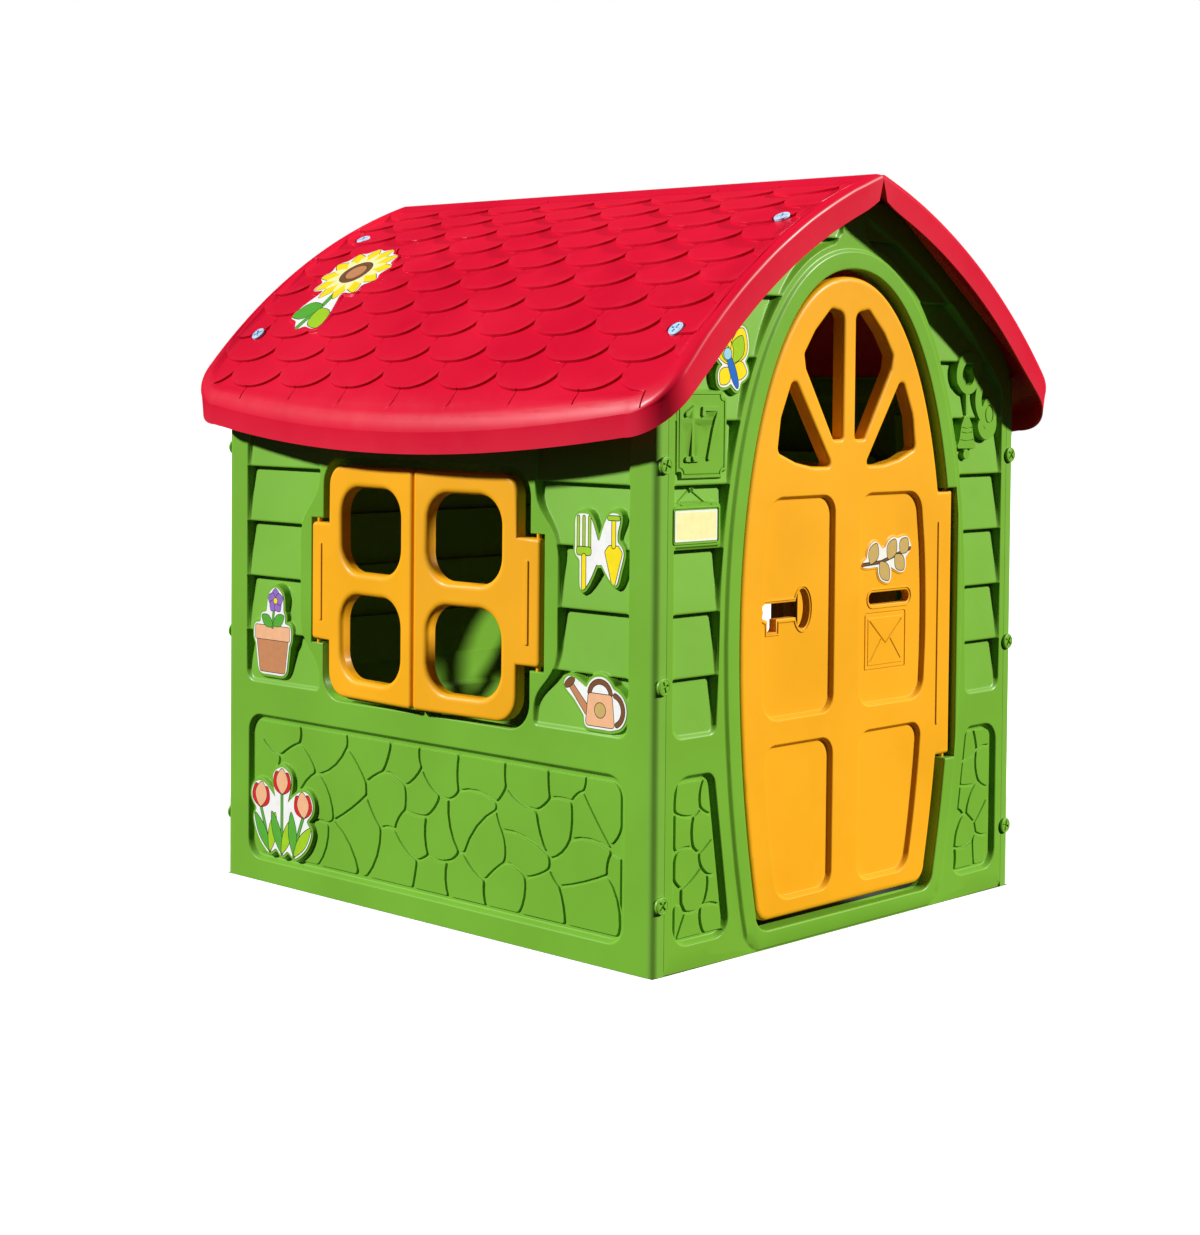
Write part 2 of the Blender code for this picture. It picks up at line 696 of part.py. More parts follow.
def lip_lines():
    lines = []
    for edge in (RETURN_EDGE - GAP - LIP_STEP, RETURN_EDGE - GAP):
        for side in (-1.0, 1.0):
            lines.append([(side * edge, FOOT_RISE + 0.001), (side * edge, 0.905)])
    return lines


def gable_edge_depth(points):
    """How far the edges of the door and back walls turn in."""
    depth = np.full(len(points), WALL_FLANGE)
    depth[points[:, 1] > 0.880] = TOP_FLANGE
    return depth


def build_gable_wall(group, name, place, holes, plank_pockets, stone_pockets, bosses, band):
    outline = gable_outline()
    arch = arch_loop(0.0)

    def raised_band(points):
        if not band:
            return 0.0
        away = -depth_inside(points, arch)
        return BAND_HEIGHT * np.clip((BAND_WIDTH - away) / BAND_SLOPE, 0.0, 1.0)

    def outer_height(points):
        height = wall_relief(points, plank_pockets, stone_pockets, bosses)
        height += lip_drop(points) + raised_band(points)
        for hole in holes:
            height += eased(-depth_inside(points, hole), OPENING_ROUND)
        return height

    def inner_height(points):
        height = wall_relief(points, plank_pockets, stone_pockets, bosses)
        return height + lip_drop(points) + raised_band(points) - SKIN

    def edge_depth(points):
        depth = gable_edge_depth(points)
        for hole in holes:
            near = np.abs(depth_inside(points, hole)) < 2.0 * SKIN
            depth[near] = OPENING_FLANGE
        return -depth

    relief = relief_lines(plank_pockets, stone_pockets, bosses) + lip_lines()
    if band:
        for distance in (BAND_WIDTH, BAND_WIDTH - BAND_SLOPE):
            ring = arch_loop(distance)
            relief.append(ring + ring[:1])
    rims = []
    for hole in holes:
        rims += ring_lines(hole, [-d for d in easing_steps(OPENING_ROUND)])
    vertices, faces = moulded(outline, holes, outer_height, inner_height, edge_depth,
                              place, place, relief + rims, relief)
    return add_object(group, name, vertices, faces, GREEN_FRONT)


def build_window_wall(group, name, place, bosses):
    outline = [(-HALF_DEPTH, 0.0), (HALF_DEPTH, 0.0), (HALF_DEPTH, SIDE_HEIGHT),
               (-HALF_DEPTH, SIDE_HEIGHT)]
    window = window_loop()
    planks = [side_pocket(), mirrored(side_pocket())]
    stones = [box_loop(-0.452, STONE_BOTTOM, 0.452, STONE_TOP, STONE_ROUND)]

    def outer_height(points):
        height = wall_relief(points, planks, stones, bosses)
        height += eased(HALF_DEPTH - np.abs(points[:, 0]), CORNER_ROUND)
        return height + eased(-depth_inside(points, window), OPENING_ROUND)

    def inner_height(points):
        height = wall_relief(points, planks, stones, bosses) - SKIN
        return height + eased(HALF_DEPTH - SKIN - np.abs(points[:, 0]), CORNER_ROUND - SKIN)

    def edge_depth(points):
        at_side = np.abs(points[:, 0]) > HALF_DEPTH - SKIN - 0.0002
        depth = np.where(at_side, RETURN_FLANGE, PLAIN_EDGE)
        near_top_or_foot = (points[:, 1] < 2.0 * SKIN) | (points[:, 1] > SIDE_HEIGHT - 2.0 * SKIN)
        at_window = ~at_side & ~near_top_or_foot
        return -np.where(at_window, OPENING_FLANGE, depth)

    relief = relief_lines(planks, stones, bosses)
    outer_lines = list(relief) + ring_lines(window, [-d for d in easing_steps(OPENING_ROUND)])
    inner_lines = list(relief)
    for side in (-1.0, 1.0):
        for step in easing_steps(CORNER_ROUND):
            u = side * (HALF_DEPTH - step)
            outer_lines.append([(u, 0.0), (u, SIDE_HEIGHT)])
        for step in [0.0003] + easing_steps(CORNER_ROUND - SKIN):
            u = side * (HALF_DEPTH - SKIN - step)
            inner_lines.append([(u, SKIN), (u, SIDE_HEIGHT - SKIN)])
    vertices, faces = moulded(outline, [window], outer_height, inner_height, edge_depth,
                              place, place, outer_lines, inner_lines)
    return add_object(group, name, vertices, faces, GREEN_SIDE)


# ================================================================ door
def fan_holes():
    """Four openings of the fanlight, split by one upright and two slanting spokes."""
    upper = rounded_polygon([
        (0.0165, 0.7850, 0.006), (0.0385, 0.7850, 0.006), (0.1090, 0.8970, 0.008),
        (0.1135, 0.9200, 0.008), (0.0870, 0.9560, 0.020), (0.0470, 0.9920, 0.010),
        (0.0165, 0.9860, 0.014)])
    lower = rounded_polygon([
        (0.0440, 0.7420, 0.006), (0.0900, 0.7430, 0.0), (0.1300, 0.7500, 0.0),
        (0.1770, 0.7670, 0.010), (0.1690, 0.8200, 0.0), (0.1400, 0.8830, 0.008)])
    return [upper, lower, mirrored(upper), mirrored(lower)]


def door_panels():
    """Four sunk panels that follow the sides of the door."""
    panels = []
    for low, high in PANEL_HEIGHTS:
        outer = []
        for z in np.linspace(low, high, 7):
            outer.append((arch_half_width(z, -DOOR_GAP) - PANEL_INSET, z))
        shape = [(PANEL_CENTRE_GAP, low, PANEL_ROUND * 0.8), (*outer[0], PANEL_ROUND)]
        shape += [(u, v, 0.0) for u, v in outer[2:-2]]
        shape += [(*outer[-1], PANEL_ROUND), (PANEL_CENTRE_GAP, high, PANEL_ROUND * 0.8)]
        right = rounded_polygon(shape)
        panels += [right, mirrored(right)]
    return panels


def key_hole():
    """Cut-out in the shape of a simple key: oval bow, round-ended shaft and one tooth."""
    bow = []
    for step in range(17):
        a = math.radians(-157.0 + 314.0 * step / 16)
        bow.append((-0.1045 + 0.0180 * math.cos(a), 0.5200 + 0.0315 * math.sin(a)))
    shaft = []
    for step in range(7):
        a = math.radians(90.0 + 180.0 * step / 6)
        shaft.append((-0.1925 + 0.0125 * math.cos(a), 0.5200 + 0.0125 * math.sin(a)))
    tooth = [(-0.1900, 0.5075), (-0.1900, 0.4880), (-0.1690, 0.4880), (-0.1690, 0.5075)]
    return bow + shaft + tooth


def door_outline():
    return arch_loop(-DOOR_GAP, BLOCK_X, BLOCK_Z)


def build_door(group, place):
    outline = door_outline()
    panels = door_panels()
    key = key_hole()
    slot = box_loop(0.067, 0.5140, 0.175, 0.5340, 0.0098)
    fans = fan_holes()
    bead = box_loop(0.2430, 0.3020, 0.2500, 0.6450, 0.0030)

    def relief(points):
        height = np.zeros(len(points))
        for panel in panels:
            share = np.clip(depth_inside(points, panel) / PANEL_SLOPE, 0.0, 1.0)
            height -= PANEL_DEPTH * share
        share = np.clip(1.0 + depth_inside(points, DOOR_STICKER) / BOSS_SLOPE, 0.0, 1.0)
        height += 0.001 * share
        share = np.clip(depth_inside(points, bead) / 0.0015, 0.0, 1.0)
        return height + 0.002 * share

    def outer_height(points):
        height = relief(points) + eased(depth_inside(points, outline), DOOR_ROUND)
        for fan in fans:
            height += eased(-depth_inside(points, fan), FAN_ROUND)
        return height - DOOR_SET_BACK

    def inner_height(points):
        height = relief(points) - SKIN - DOOR_SET_BACK
        return height + eased(depth_inside(points, outline) - SKIN, DOOR_ROUND - SKIN)

    def edge_depth(points):
        return np.full(len(points), -DOOR_SET_BACK - DOOR_THICKNESS)

    lines = ring_lines(bead, (0.0, 0.0015)) + ring_lines(DOOR_STICKER, (0.0, -BOSS_SLOPE))
    for panel in panels:
        lines += ring_lines(panel, (0.0, PANEL_SLOPE))
    outer_lines = lines + ring_lines(outline, easing_steps(DOOR_ROUND))
    inner_lines = lines + ring_lines(outline, [SKIN + d for d in easing_steps(DOOR_ROUND - SKIN)])
    for fan in fans:
        outer_lines += ring_lines(fan, [-d for d in easing_steps(FAN_ROUND)])
    holes = fans + [key, slot]
    vertices, faces = moulded(outline, holes, outer_height, inner_height, edge_depth,
                              place, place, outer_lines, inner_lines)
    origin = (DOOR_AXIS_X, -HALF_DEPTH - DOOR_AXIS_H, 0.0)
    return add_object(group, "door", vertices, faces, YELLOW, origin=origin)


# ================================================================ shutters
def shutter_outline():
    low, high = SHUTTER_BLOCK_Z
    return rounded_polygon([
        (SHUTTER_BLOCK[1], SHUTTER_Z[0], SHUTTER_ROUND_BOTTOM), (SHUTTER_END, SHUTTER_Z[0], 0.0075),
        (SHUTTER_END, SHUTTER_Z[1], 0.0075), (SHUTTER_BLOCK[1], SHUTTER_Z[1], SHUTTER_ROUND_TOP),
        (SHUTTER_BLOCK[1], high, 0.0), (SHUTTER_BLOCK[0], high, 0.0075),
        (SHUTTER_BLOCK[0], low, 0.0075), (SHUTTER_BLOCK[1], low, 0.0)])


def shutter_place(wall_turn, side):
    """Layout of one shutter to the house: wall_turn is 1 for -X and -1 for +X, side is +-1."""
    axis = np.array([-HALF_WIDTH - SHUTTER_AXIS_H, side * SHUTTER_AXIS_Y, 0.0])
    along = np.array([-math.sin(SHUTTER_AJAR), -side * math.cos(SHUTTER_AJAR), 0.0])
    out = np.array([-math.cos(SHUTTER_AJAR), side * math.sin(SHUTTER_AJAR), 0.0])
    flip = np.array([wall_turn, wall_turn, 1.0])

    def place(points, height):
        flat = axis + points[:, :1] * along + np.asarray(height)[:, None] * out
        flat = flat + points[:, 1:2] * np.array([0.0, 0.0, 1.0])
        return flat * flip

    return place, tuple(axis * flip)


def build_shutter(group, name, wall_turn, side):
    outline = shutter_outline()
    panes = [box_loop(PANE_U[0], low, PANE_U[1], high, PANE_CORNER) for low, high in PANE_Z]
    bead = box_loop(0.0120, 0.4680, 0.0210, 0.6000, 0.0030)
    place, origin = shutter_place(wall_turn, side)
    front = 0.005 - SHUTTER_AXIS_H

    def outer_height(points):
        height = eased(depth_inside(points, outline), SHUTTER_ROUND) + front
        for pane in panes:
            height += eased(-depth_inside(points, pane), PANE_ROUND)
        return height + 0.002 * np.clip(depth_inside(points, bead) / 0.0015, 0.0, 1.0)

    def inner_height(points):
        height = np.full(len(points), front - SKIN)
        height += eased(depth_inside(points, outline) - SKIN, SHUTTER_ROUND - SKIN)
        for pane in panes:
            height += eased(-depth_inside(points, pane) - SKIN, PANE_ROUND - SKIN)
        return height + 0.002 * np.clip(depth_inside(points, bead) / 0.0015, 0.0, 1.0)

    def edge_depth(points):
        return np.full(len(points), front - SHUTTER_THICKNESS)

    lines = ring_lines(bead, (0.0, 0.0015))
    outer_lines = lines + ring_lines(outline, easing_steps(SHUTTER_ROUND))
    inner_lines = lines + ring_lines(outline, [SKIN + d for d in easing_steps(SHUTTER_ROUND - SKIN)])
    for pane in panes:
        outer_lines += ring_lines(pane, [-d for d in easing_steps(PANE_ROUND)])
        inner_lines += ring_lines(pane, [-SKIN - d for d in easing_steps(PANE_ROUND - SKIN)])
    vertices, faces = moulded(outline, panes, outer_height, inner_height, edge_depth,
                              place, place, outer_lines, inner_lines)
    return add_object(group, name, vertices, faces, YELLOW, origin=origin), origin


def add_pins(group, cutters, target, x, y, low, high):
    """Hinge pins moulded on a block's two ends, joined to the leaf."""
    for name, start, end in (("low", low - PIN_REACH, low + SKIN * 0.6),
                             ("high", high - SKIN * 0.6, high + PIN_REACH)):
        vertices, faces = rod((x, y, start), (x, y, end), PIN_RADIUS, PIN_SIDES)
        pin = add_object(cutters, f"{target.name}_pin_{name}", vertices, faces, YELLOW)
        pin.hide_render = True
        pin.display_type = "WIRE"
        join = target.modifiers.new("pin_" + name, "BOOLEAN")
        join.operation = "UNION"
        join.solver = "EXACT"
        join.object = pin


# ================================================================ roof halves
def roof_outline():
    """Layout of the right roof half: u is arc length from the ridge, v is Y."""
    half = ROOF_HALF_LENGTH
    corner = EAVE_CORNER
    turn_at = eave_arc(half - corner) - corner
    edge = [(0.0, -half), (turn_at, -half)]
    for step in range(1, 7):
        a = math.radians(-90.0 + 90.0 * step / 7)
        edge.append((turn_at + corner * math.cos(a), -half + corner + corner * math.sin(a)))
    for y in np.linspace(-(half - corner), half - corner, 15):
        edge.append((eave_arc(y), y))
    upper = [(u, -v) for u, v in reversed(edge[:8])]
    ridge = [(0.0, half - 0.030), (0.0, -half + 0.030)]
    return edge + upper + ridge


def roof_place(turn):
    def place(points, height):
        x, z = roof_point(points[:, 0], height)
        return np.stack([turn * x, turn * points[:, 1], z], axis=1)
    return place


def eave_share(s):
    """How far the fascia has turned from square to the slope to its upright set at the eave."""
    return np.clip((s - EAVE_TURN_START) / EAVE_TURN_LENGTH, 0.0, 1.0)


def roof_turn_in(turn):
    """Edges turn in square to the slope, lean apart at the ridge and hang upright at the eave."""
    def turn_in(points, depth):
        s = points[:, 0]
        x, z = roof_point(s, 0.0)
        lean = ROOF_LEAN * np.clip(1.0 - s / ROOF_LEAN_ARC, 0.0, 1.0)
        fade = eave_share(s)
        angle = (roof_slope(s) - lean) * (1.0 - fade) + EAVE_FASCIA_ANGLE * fade
        x = x + np.sin(angle) * depth
        z = z + np.cos(angle) * depth
        return np.stack([turn * x, turn * points[:, 1], z], axis=1)
    return turn_in


def roof_screw_spots():
    """Layout positions of the four screws of one roof half."""
    return [(arc_at_x(x, 0.0), y) for x in ROOF_SCREW_X for y in (-ROOF_SCREW_Y, ROOF_SCREW_Y)]


def build_roof(group, name, turn, boss):
    outline = roof_outline()
    spots = roof_screw_spots()
    dimples = [ellipse_loop(u, v, HEAD_RADIUS + 0.0035, HEAD_RADIUS + 0.0035, 20)
               for u, v in spots]

    def relief(points):
        rim = depth_inside(points, outline)
        drop = np.clip((rim - ROOF_RIM_WIDTH) / ROOF_RIM_SLOPE, 0.0, 1.0)
        height = -ROOF_FIELD_DROP * drop * (1.0 - FIELD_FADE * eave_share(points[:, 0]))
        for dimple in dimples:
            share = np.clip(depth_inside(points, dimple) / 0.0025, 0.0, 1.0)
            height -= ROOF_DIMPLE * share
        if boss is not None:
            share = np.clip(1.0 + depth_inside(points, boss) / BOSS_SLOPE, 0.0, 1.0)
            height += 0.002 * share
        return height

    def outer_height(points):
        return relief(points) + eased(depth_inside(points, outline), ROOF_EDGE_ROUND)

    def inner_height(points):
        eased_rim = eased(depth_inside(points, outline) - SKIN, ROOF_EDGE_ROUND - SKIN)
        return relief(points) - SKIN + eased_rim

    def edge_depth(points):
        half = ROOF_HALF_LENGTH
        at_ridge = points[:, 0] < 1.5 * SKIN
        at_end = np.abs(points[:, 1]) > half - 1.5 * SKIN
        depth = FASCIA_DEPTH + (EAVE_FASCIA_DEPTH - FASCIA_DEPTH) * eave_share(points[:, 0])
        return -np.where(at_ridge & ~at_end, RIDGE_LIP, depth)

    bends = []
    for s in np.arange(0.060, EAVE_ARC - 0.045, 0.080):
        bends.append([(s, -ROOF_HALF_LENGTH + 0.045), (s, ROOF_HALF_LENGTH - 0.045)])
    bends = [line for line in bends if line[0][0] < eave_arc(ROOF_HALF_LENGTH) - 0.03]
    for s in (0.600, 0.625):
        bends.append([(s, -0.450), (s, 0.450)])
    lines = list(bends) + ring_lines(outline, (ROOF_RIM_WIDTH, ROOF_RIM_WIDTH + ROOF_RIM_SLOPE))
    for dimple in dimples:
        lines += ring_lines(dimple, (0.0, 0.0025))
    if boss is not None:
        lines += ring_lines(boss, (0.0, -BOSS_SLOPE))
    outer_lines = lines + ring_lines(outline, easing_steps(ROOF_EDGE_ROUND))
    steps = [SKIN + d for d in easing_steps(ROOF_EDGE_ROUND - SKIN)]
    inner_lines = lines + ring_lines(outline, steps)
    vertices, faces = moulded(outline, [], outer_height, inner_height, edge_depth,
                              roof_place(turn), roof_turn_in(turn), outer_lines, inner_lines)
    return add_object(group, name, vertices, faces, RED, roughness=0.3)


# ================================================================ screws and stickers
def box_mesh(name, size, centre):
    form = bmesh.new()
    bmesh.ops.create_cube(form, size=1.0,
                          matrix=Matrix.Translation(centre) @ Matrix.Diagonal((*size, 1.0)))
    mesh = bpy.data.meshes.new(name)
    form.to_mesh(mesh)
    form.free()
    return mesh


def screw_mesh(name, colour):
    """Mesh shared by the screws of one colour: a turned blank with a cross cut into its head."""
    stations = [(0.0, HEAD_HEIGHT), (HEAD_RADIUS * 0.90, HEAD_HEIGHT),
                (HEAD_RADIUS, HEAD_HEIGHT - HEAD_BEVEL), (HEAD_RADIUS, 0.0),
                (SHANK_RADIUS, 0.0), (SHANK_RADIUS, -SHANK_LENGTH), (0.0, -SHANK_LENGTH)]
    profile = bpy.data.meshes.new(name + "_profile")
    profile.from_pydata([(r, 0.0, z) for r, z in stations],
                        [(k, k + 1) for k in range(len(stations) - 1)], [])
    blank = bpy.data.objects.new(name + "_blank", profile)
    turn = blank.modifiers.new("turn", "SCREW")
    turn.steps = SCREW_SIDES
    turn.render_steps = SCREW_SIDES
    turn.use_merge_vertices = True
    turn.merge_threshold = 0.00001
    arm = 2.0 * HEAD_RADIUS * SLOT_REACH
    spare = [blank]
    for number, (length, width) in enumerate(((arm, SLOT_WIDTH), (SLOT_WIDTH, arm))):
        box = box_mesh(f"{name}_slot_{number}", (length, width, 2.0 * SLOT_DEPTH),
                       (0.0, 0.0, HEAD_HEIGHT))
        slot = bpy.data.objects.new(box.name, box)
        cut = blank.modifiers.new(f"slot_{number}", "BOOLEAN")
        cut.operation = "DIFFERENCE"
        cut.solver = "EXACT"
        cut.object = slot
        spare.append(slot)
    for item in spare:
        bpy.context.scene.collection.objects.link(item)
    bpy.context.view_layer.update()
    seen = blank.evaluated_get(bpy.context.evaluated_depsgraph_get())
    mesh = bpy.data.meshes.new_from_object(seen)
    mesh.name = name
    mesh.materials.clear()
    mesh.materials.append(plastic(name, colour, 0.4))
    for item in spare:
        bpy.data.objects.remove(item, do_unlink=True)
    return mesh


def add_screw(group, name, mesh, seat, direction):
    """Place a screw: seat is the point under the head, direction points out of the head."""
    item = bpy.data.objects.new(name, mesh)
    item.location = seat
    item.rotation_euler = Vector(direction).to_track_quat("Z", "X").to_euler()
    group.objects.link(item)
    return item


def build_sticker(group, name, loop, surface, place, colour, steps=()):
    """A thin printed plate on a raised pad; surface is the pad's height there."""
    lines = [line for line in steps]
    layout, triangles = triangulate([loop], lines)
    low = surface + GAP
    high = low + STICKER_THICKNESS
    chain = border_chains(triangles)[0]
    vertices = np.concatenate([place(layout, np.full(len(layout), high)),
                               place(layout, np.full(len(layout), low))])
    count = len(layout)
    faces = [tuple(t) for t in triangles]
    faces += [tuple(count + i for i in t[::-1]) for t in triangles]
    for k in range(len(chain)):
        n = (k + 1) % len(chain)
        faces.append((chain[n], chain[k], count + chain[k], count + chain[n]))
    return add_object(group, name, vertices, faces, colour, roughness=0.3)


# ================================================================ colours and assembly
GREEN_FRONT = (0.33, 0.58, 0.06)
GREEN_SIDE = (0.20, 0.46, 0.05)
RED = (0.78, 0.01, 0.03)
YELLOW = (0.95, 0.48, 0.02)
SCREW_BLUE = (0.50, 0.68, 0.82)
STICKER_COLOURS = {
    "sticker_flowerpot": (0.72, 0.33, 0.15), "sticker_tulips": (0.85, 0.10, 0.08),
    "sticker_watering_can": (0.75, 0.38, 0.12), "sticker_tools": (0.90, 0.72, 0.10),
    "sticker_butterfly": (0.70, 0.80, 0.10), "sticker_label": (0.95, 0.85, 0.30),
    "sticker_leaf": (0.70, 0.50, 0.15), "sticker_sunflower": (0.92, 0.75, 0.10),
}


def front_place(points, height):
    return np.stack([points[:, 0], -HALF_DEPTH - np.asarray(height), points[:, 1]], axis=1)


def back_place(points, height):
    return np.stack([-points[:, 0], HALF_DEPTH + np.asarray(height), points[:, 1]], axis=1)


def left_place(points, height):
    return np.stack([-HALF_WIDTH - np.asarray(height), -points[:, 0], points[:, 1]], axis=1)


def right_place(points, height):
    return np.stack([HALF_WIDTH + np.asarray(height), points[:, 0], points[:, 1]], axis=1)


def build():
    clear_scene()
    house = new_collection("plastic_playhouse")
    cutters = new_collection("cutters")
    cutters.hide_render = True

    opening = arch_loop(0.0, NOTCH_X, NOTCH_Z)
    stones_right = rounded_polygon([
        (0.2850, STONE_BOTTOM, 0.030), (0.4180, STONE_BOTTOM, STONE_ROUND),
        (0.4180, STONE_TOP, STONE_ROUND), (0.3250, STONE_TOP, 0.022)])
    front_bosses = [offset_loop(FRONT_STICKERS["sticker_butterfly"], -STICKER_BOSS),
                    NUMBER_PLATE, NAME_PLAQUE]
    front = build_gable_wall(
        house, "front_wall", front_place, [opening], [plank_pocket(), mirrored(plank_pocket())],
        [stones_right, mirrored(stones_right)], front_bosses, True)
    back = build_gable_wall(
        house, "back_wall", back_place, [], [back_pocket()],
        [box_loop(-0.418, STONE_BOTTOM, 0.418, STONE_TOP, STONE_ROUND)], [], False)
    side_bosses = [offset_loop(loop, -STICKER_BOSS) for loop in SIDE_STICKERS.values()]
    left = build_window_wall(house, "left_wall", left_place, side_bosses)
    right = build_window_wall(house, "right_wall", right_place, [])
    roof_boss = offset_loop(ROOF_STICKER, -STICKER_BOSS)
    roof_left = build_roof(house, "roof_left", -1.0, roof_boss)
    roof_right = build_roof(house, "roof_right", 1.0, roof_boss)

    door = build_door(house, front_place)
    door_axis_y = -HALF_DEPTH - DOOR_AXIS_H
    add_pins(house, cutters, door, DOOR_AXIS_X, door_axis_y, *BLOCK_Z)
    leaves = {"left_wall": [], "right_wall": []}
    for wall, turn in (("left", 1.0), ("right", -1.0)):
        for hand, side in (("a", 1.0), ("b", -1.0)):
            leaf, axis = build_shutter(house, f"{wall}_shutter_{hand}", turn, side)
            add_pins(house, cutters, leaf, axis[0], axis[1], *SHUTTER_BLOCK_Z)
            leaves[wall + "_wall"].append(axis)

    green_screw = screw_mesh("green_screw", GREEN_SIDE)
    blue_screw = screw_mesh("blue_screw", SCREW_BLUE)
    corner_rods = []
    for x in (-CORNER_SCREW_X, CORNER_SCREW_X):
        for end, label in ((-1.0, "front"), (1.0, "back")):
            for level, z in enumerate(CORNER_SCREW_Z):
                seat = (x, end * (HALF_DEPTH + GAP), z)
                hand = "left" if x < 0.0 else "right"
                add_screw(house, f"corner_screw_{label}_{hand}_{level + 1}", green_screw, seat,
                          (0.0, end, 0.0))
                corner_rods.append(((x, end * (HALF_DEPTH + 0.02), z),
                                    (x, end * (HALF_DEPTH - 0.030), z), SHANK_HOLE, SHANK_SIDES))
    roof_rods = []
    for turn, hand in ((-1.0, "left"), (1.0, "right")):
        for number, (s, y) in enumerate(roof_screw_spots()):
            slope = float(roof_slope(s))
            out = Vector((turn * math.sin(slope), 0.0, math.cos(slope)))
            x, z = roof_point(s, -ROOF_FIELD_DROP - ROOF_DIMPLE + GAP)
            seat = Vector((turn * float(x), turn * y, float(z)))
            add_screw(house, f"roof_screw_{hand}_{number + 1}", blue_screw, seat, out)
            roof_rods.append((seat + out * 0.02, seat - out * 0.030, SHANK_HOLE, SHANK_SIDES))

    def near(rods, sign_axis, sign):
        return [r for r in rods if (r[0][sign_axis] > 0.0) == (sign > 0.0)]

    door_pins = [((DOOR_AXIS_X, door_axis_y, NOTCH_Z[0] - 0.012),
                  (DOOR_AXIS_X, door_axis_y, NOTCH_Z[0] + 0.002), PIN_HOLE, PIN_SIDES),
                 ((DOOR_AXIS_X, door_axis_y, NOTCH_Z[1] - 0.002),
                  (DOOR_AXIS_X, door_axis_y, NOTCH_Z[1] + 0.012), PIN_HOLE, PIN_SIDES)]
    add_cutter(cutters, front, near(corner_rods, 1, -1) + near(roof_rods, 1, -1) + door_pins)
    add_cutter(cutters, back, near(corner_rods, 1, 1) + near(roof_rods, 1, 1))
    for wall, sign in ((left, -1), (right, 1)):
        pins = []
        for x, y, _ in leaves[wall.name]:
            low, high = WINDOW_NOTCH_Z
            pins.append(((x, y, low - 0.012), (x, y, low + 0.002), PIN_HOLE, PIN_SIDES))
            pins.append(((x, y, high - 0.002), (x, y, high + 0.012), PIN_HOLE, PIN_SIDES))
        add_cutter(cutters, wall, near(corner_rods, 0, sign) + pins)
    add_cutter(cutters, roof_left, near(roof_rods, 0, -1))
    add_cutter(cutters, roof_right, near(roof_rods, 0, 1))

    for name, loop in SIDE_STICKERS.items():
        build_sticker(house, name, loop, 0.0, left_place, STICKER_COLOURS[name])
    for name, loop in FRONT_STICKERS.items():
        build_sticker(house, name, loop, 0.0, front_place, STICKER_COLOURS[name])
    pad = -DOOR_SET_BACK - PANEL_DEPTH + 0.001
    build_sticker(house, "sticker_leaf", DOOR_STICKER, pad, front_place,
                  STICKER_COLOURS["sticker_leaf"])
    bends = [[(s, -0.52), (s, -0.26)] for s in np.arange(0.25, 0.47, 0.0400)]
    clipped = []
    for line in bends:
        s = line[0][0]
        turned = [(v, u) for u, v in ROOF_STICKER]
        clipped += [[(s, a + LINE_END), (s, b - LINE_END)]
                    for a, b in spans(turned, s) if b - a > 0.004]
    build_sticker(house, "sticker_sunflower", ROOF_STICKER, -ROOF_FIELD_DROP + 0.002,
                  roof_place(-1.0), STICKER_COLOURS["sticker_sunflower"], clipped)


build()
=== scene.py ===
"""Looks for the plastic garden playhouse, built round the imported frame.

Every moulded piece is a skin laid out flat in (u, v) with a relief height h that grows outwards, then
placed on its wall, door leaf, shutter or roof half. Metres, +Z up, door wall towards -Y.
"""

import json
import math
import random

import bmesh
import bpy
import numpy as np
from mathutils import Matrix, Vector
from mathutils.geometry import delaunay_2d_cdt

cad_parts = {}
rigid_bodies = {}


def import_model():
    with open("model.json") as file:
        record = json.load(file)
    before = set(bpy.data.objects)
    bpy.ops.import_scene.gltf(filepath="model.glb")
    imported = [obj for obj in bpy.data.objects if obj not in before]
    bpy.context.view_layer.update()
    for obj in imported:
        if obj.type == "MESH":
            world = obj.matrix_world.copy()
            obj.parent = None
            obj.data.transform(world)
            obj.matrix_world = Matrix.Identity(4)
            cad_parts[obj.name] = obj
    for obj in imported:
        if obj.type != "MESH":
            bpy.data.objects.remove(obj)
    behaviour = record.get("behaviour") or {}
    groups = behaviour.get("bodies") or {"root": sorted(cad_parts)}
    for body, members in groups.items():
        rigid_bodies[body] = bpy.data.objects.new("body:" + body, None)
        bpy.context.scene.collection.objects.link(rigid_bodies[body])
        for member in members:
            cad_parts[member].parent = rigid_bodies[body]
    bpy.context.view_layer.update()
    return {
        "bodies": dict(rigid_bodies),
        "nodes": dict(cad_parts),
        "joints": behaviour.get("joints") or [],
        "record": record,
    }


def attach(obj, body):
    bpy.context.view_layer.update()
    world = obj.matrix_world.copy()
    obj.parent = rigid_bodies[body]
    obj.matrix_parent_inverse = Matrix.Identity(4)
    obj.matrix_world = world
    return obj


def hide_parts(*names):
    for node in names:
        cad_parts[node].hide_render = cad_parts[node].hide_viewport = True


# ---------------------------------------------------------------- overall sizes
HALF_WIDTH = 0.460
HALF_DEPTH = 0.5105
SIDE_HEIGHT = 0.885
SKIN = 0.003
GAP = 0.0004
GUARD = 0.0025              # extra layout lines this far beside a bend keep the flats clean
WALL_GRID = 0.0150          # spacing of the layout points on flat wall and door faces

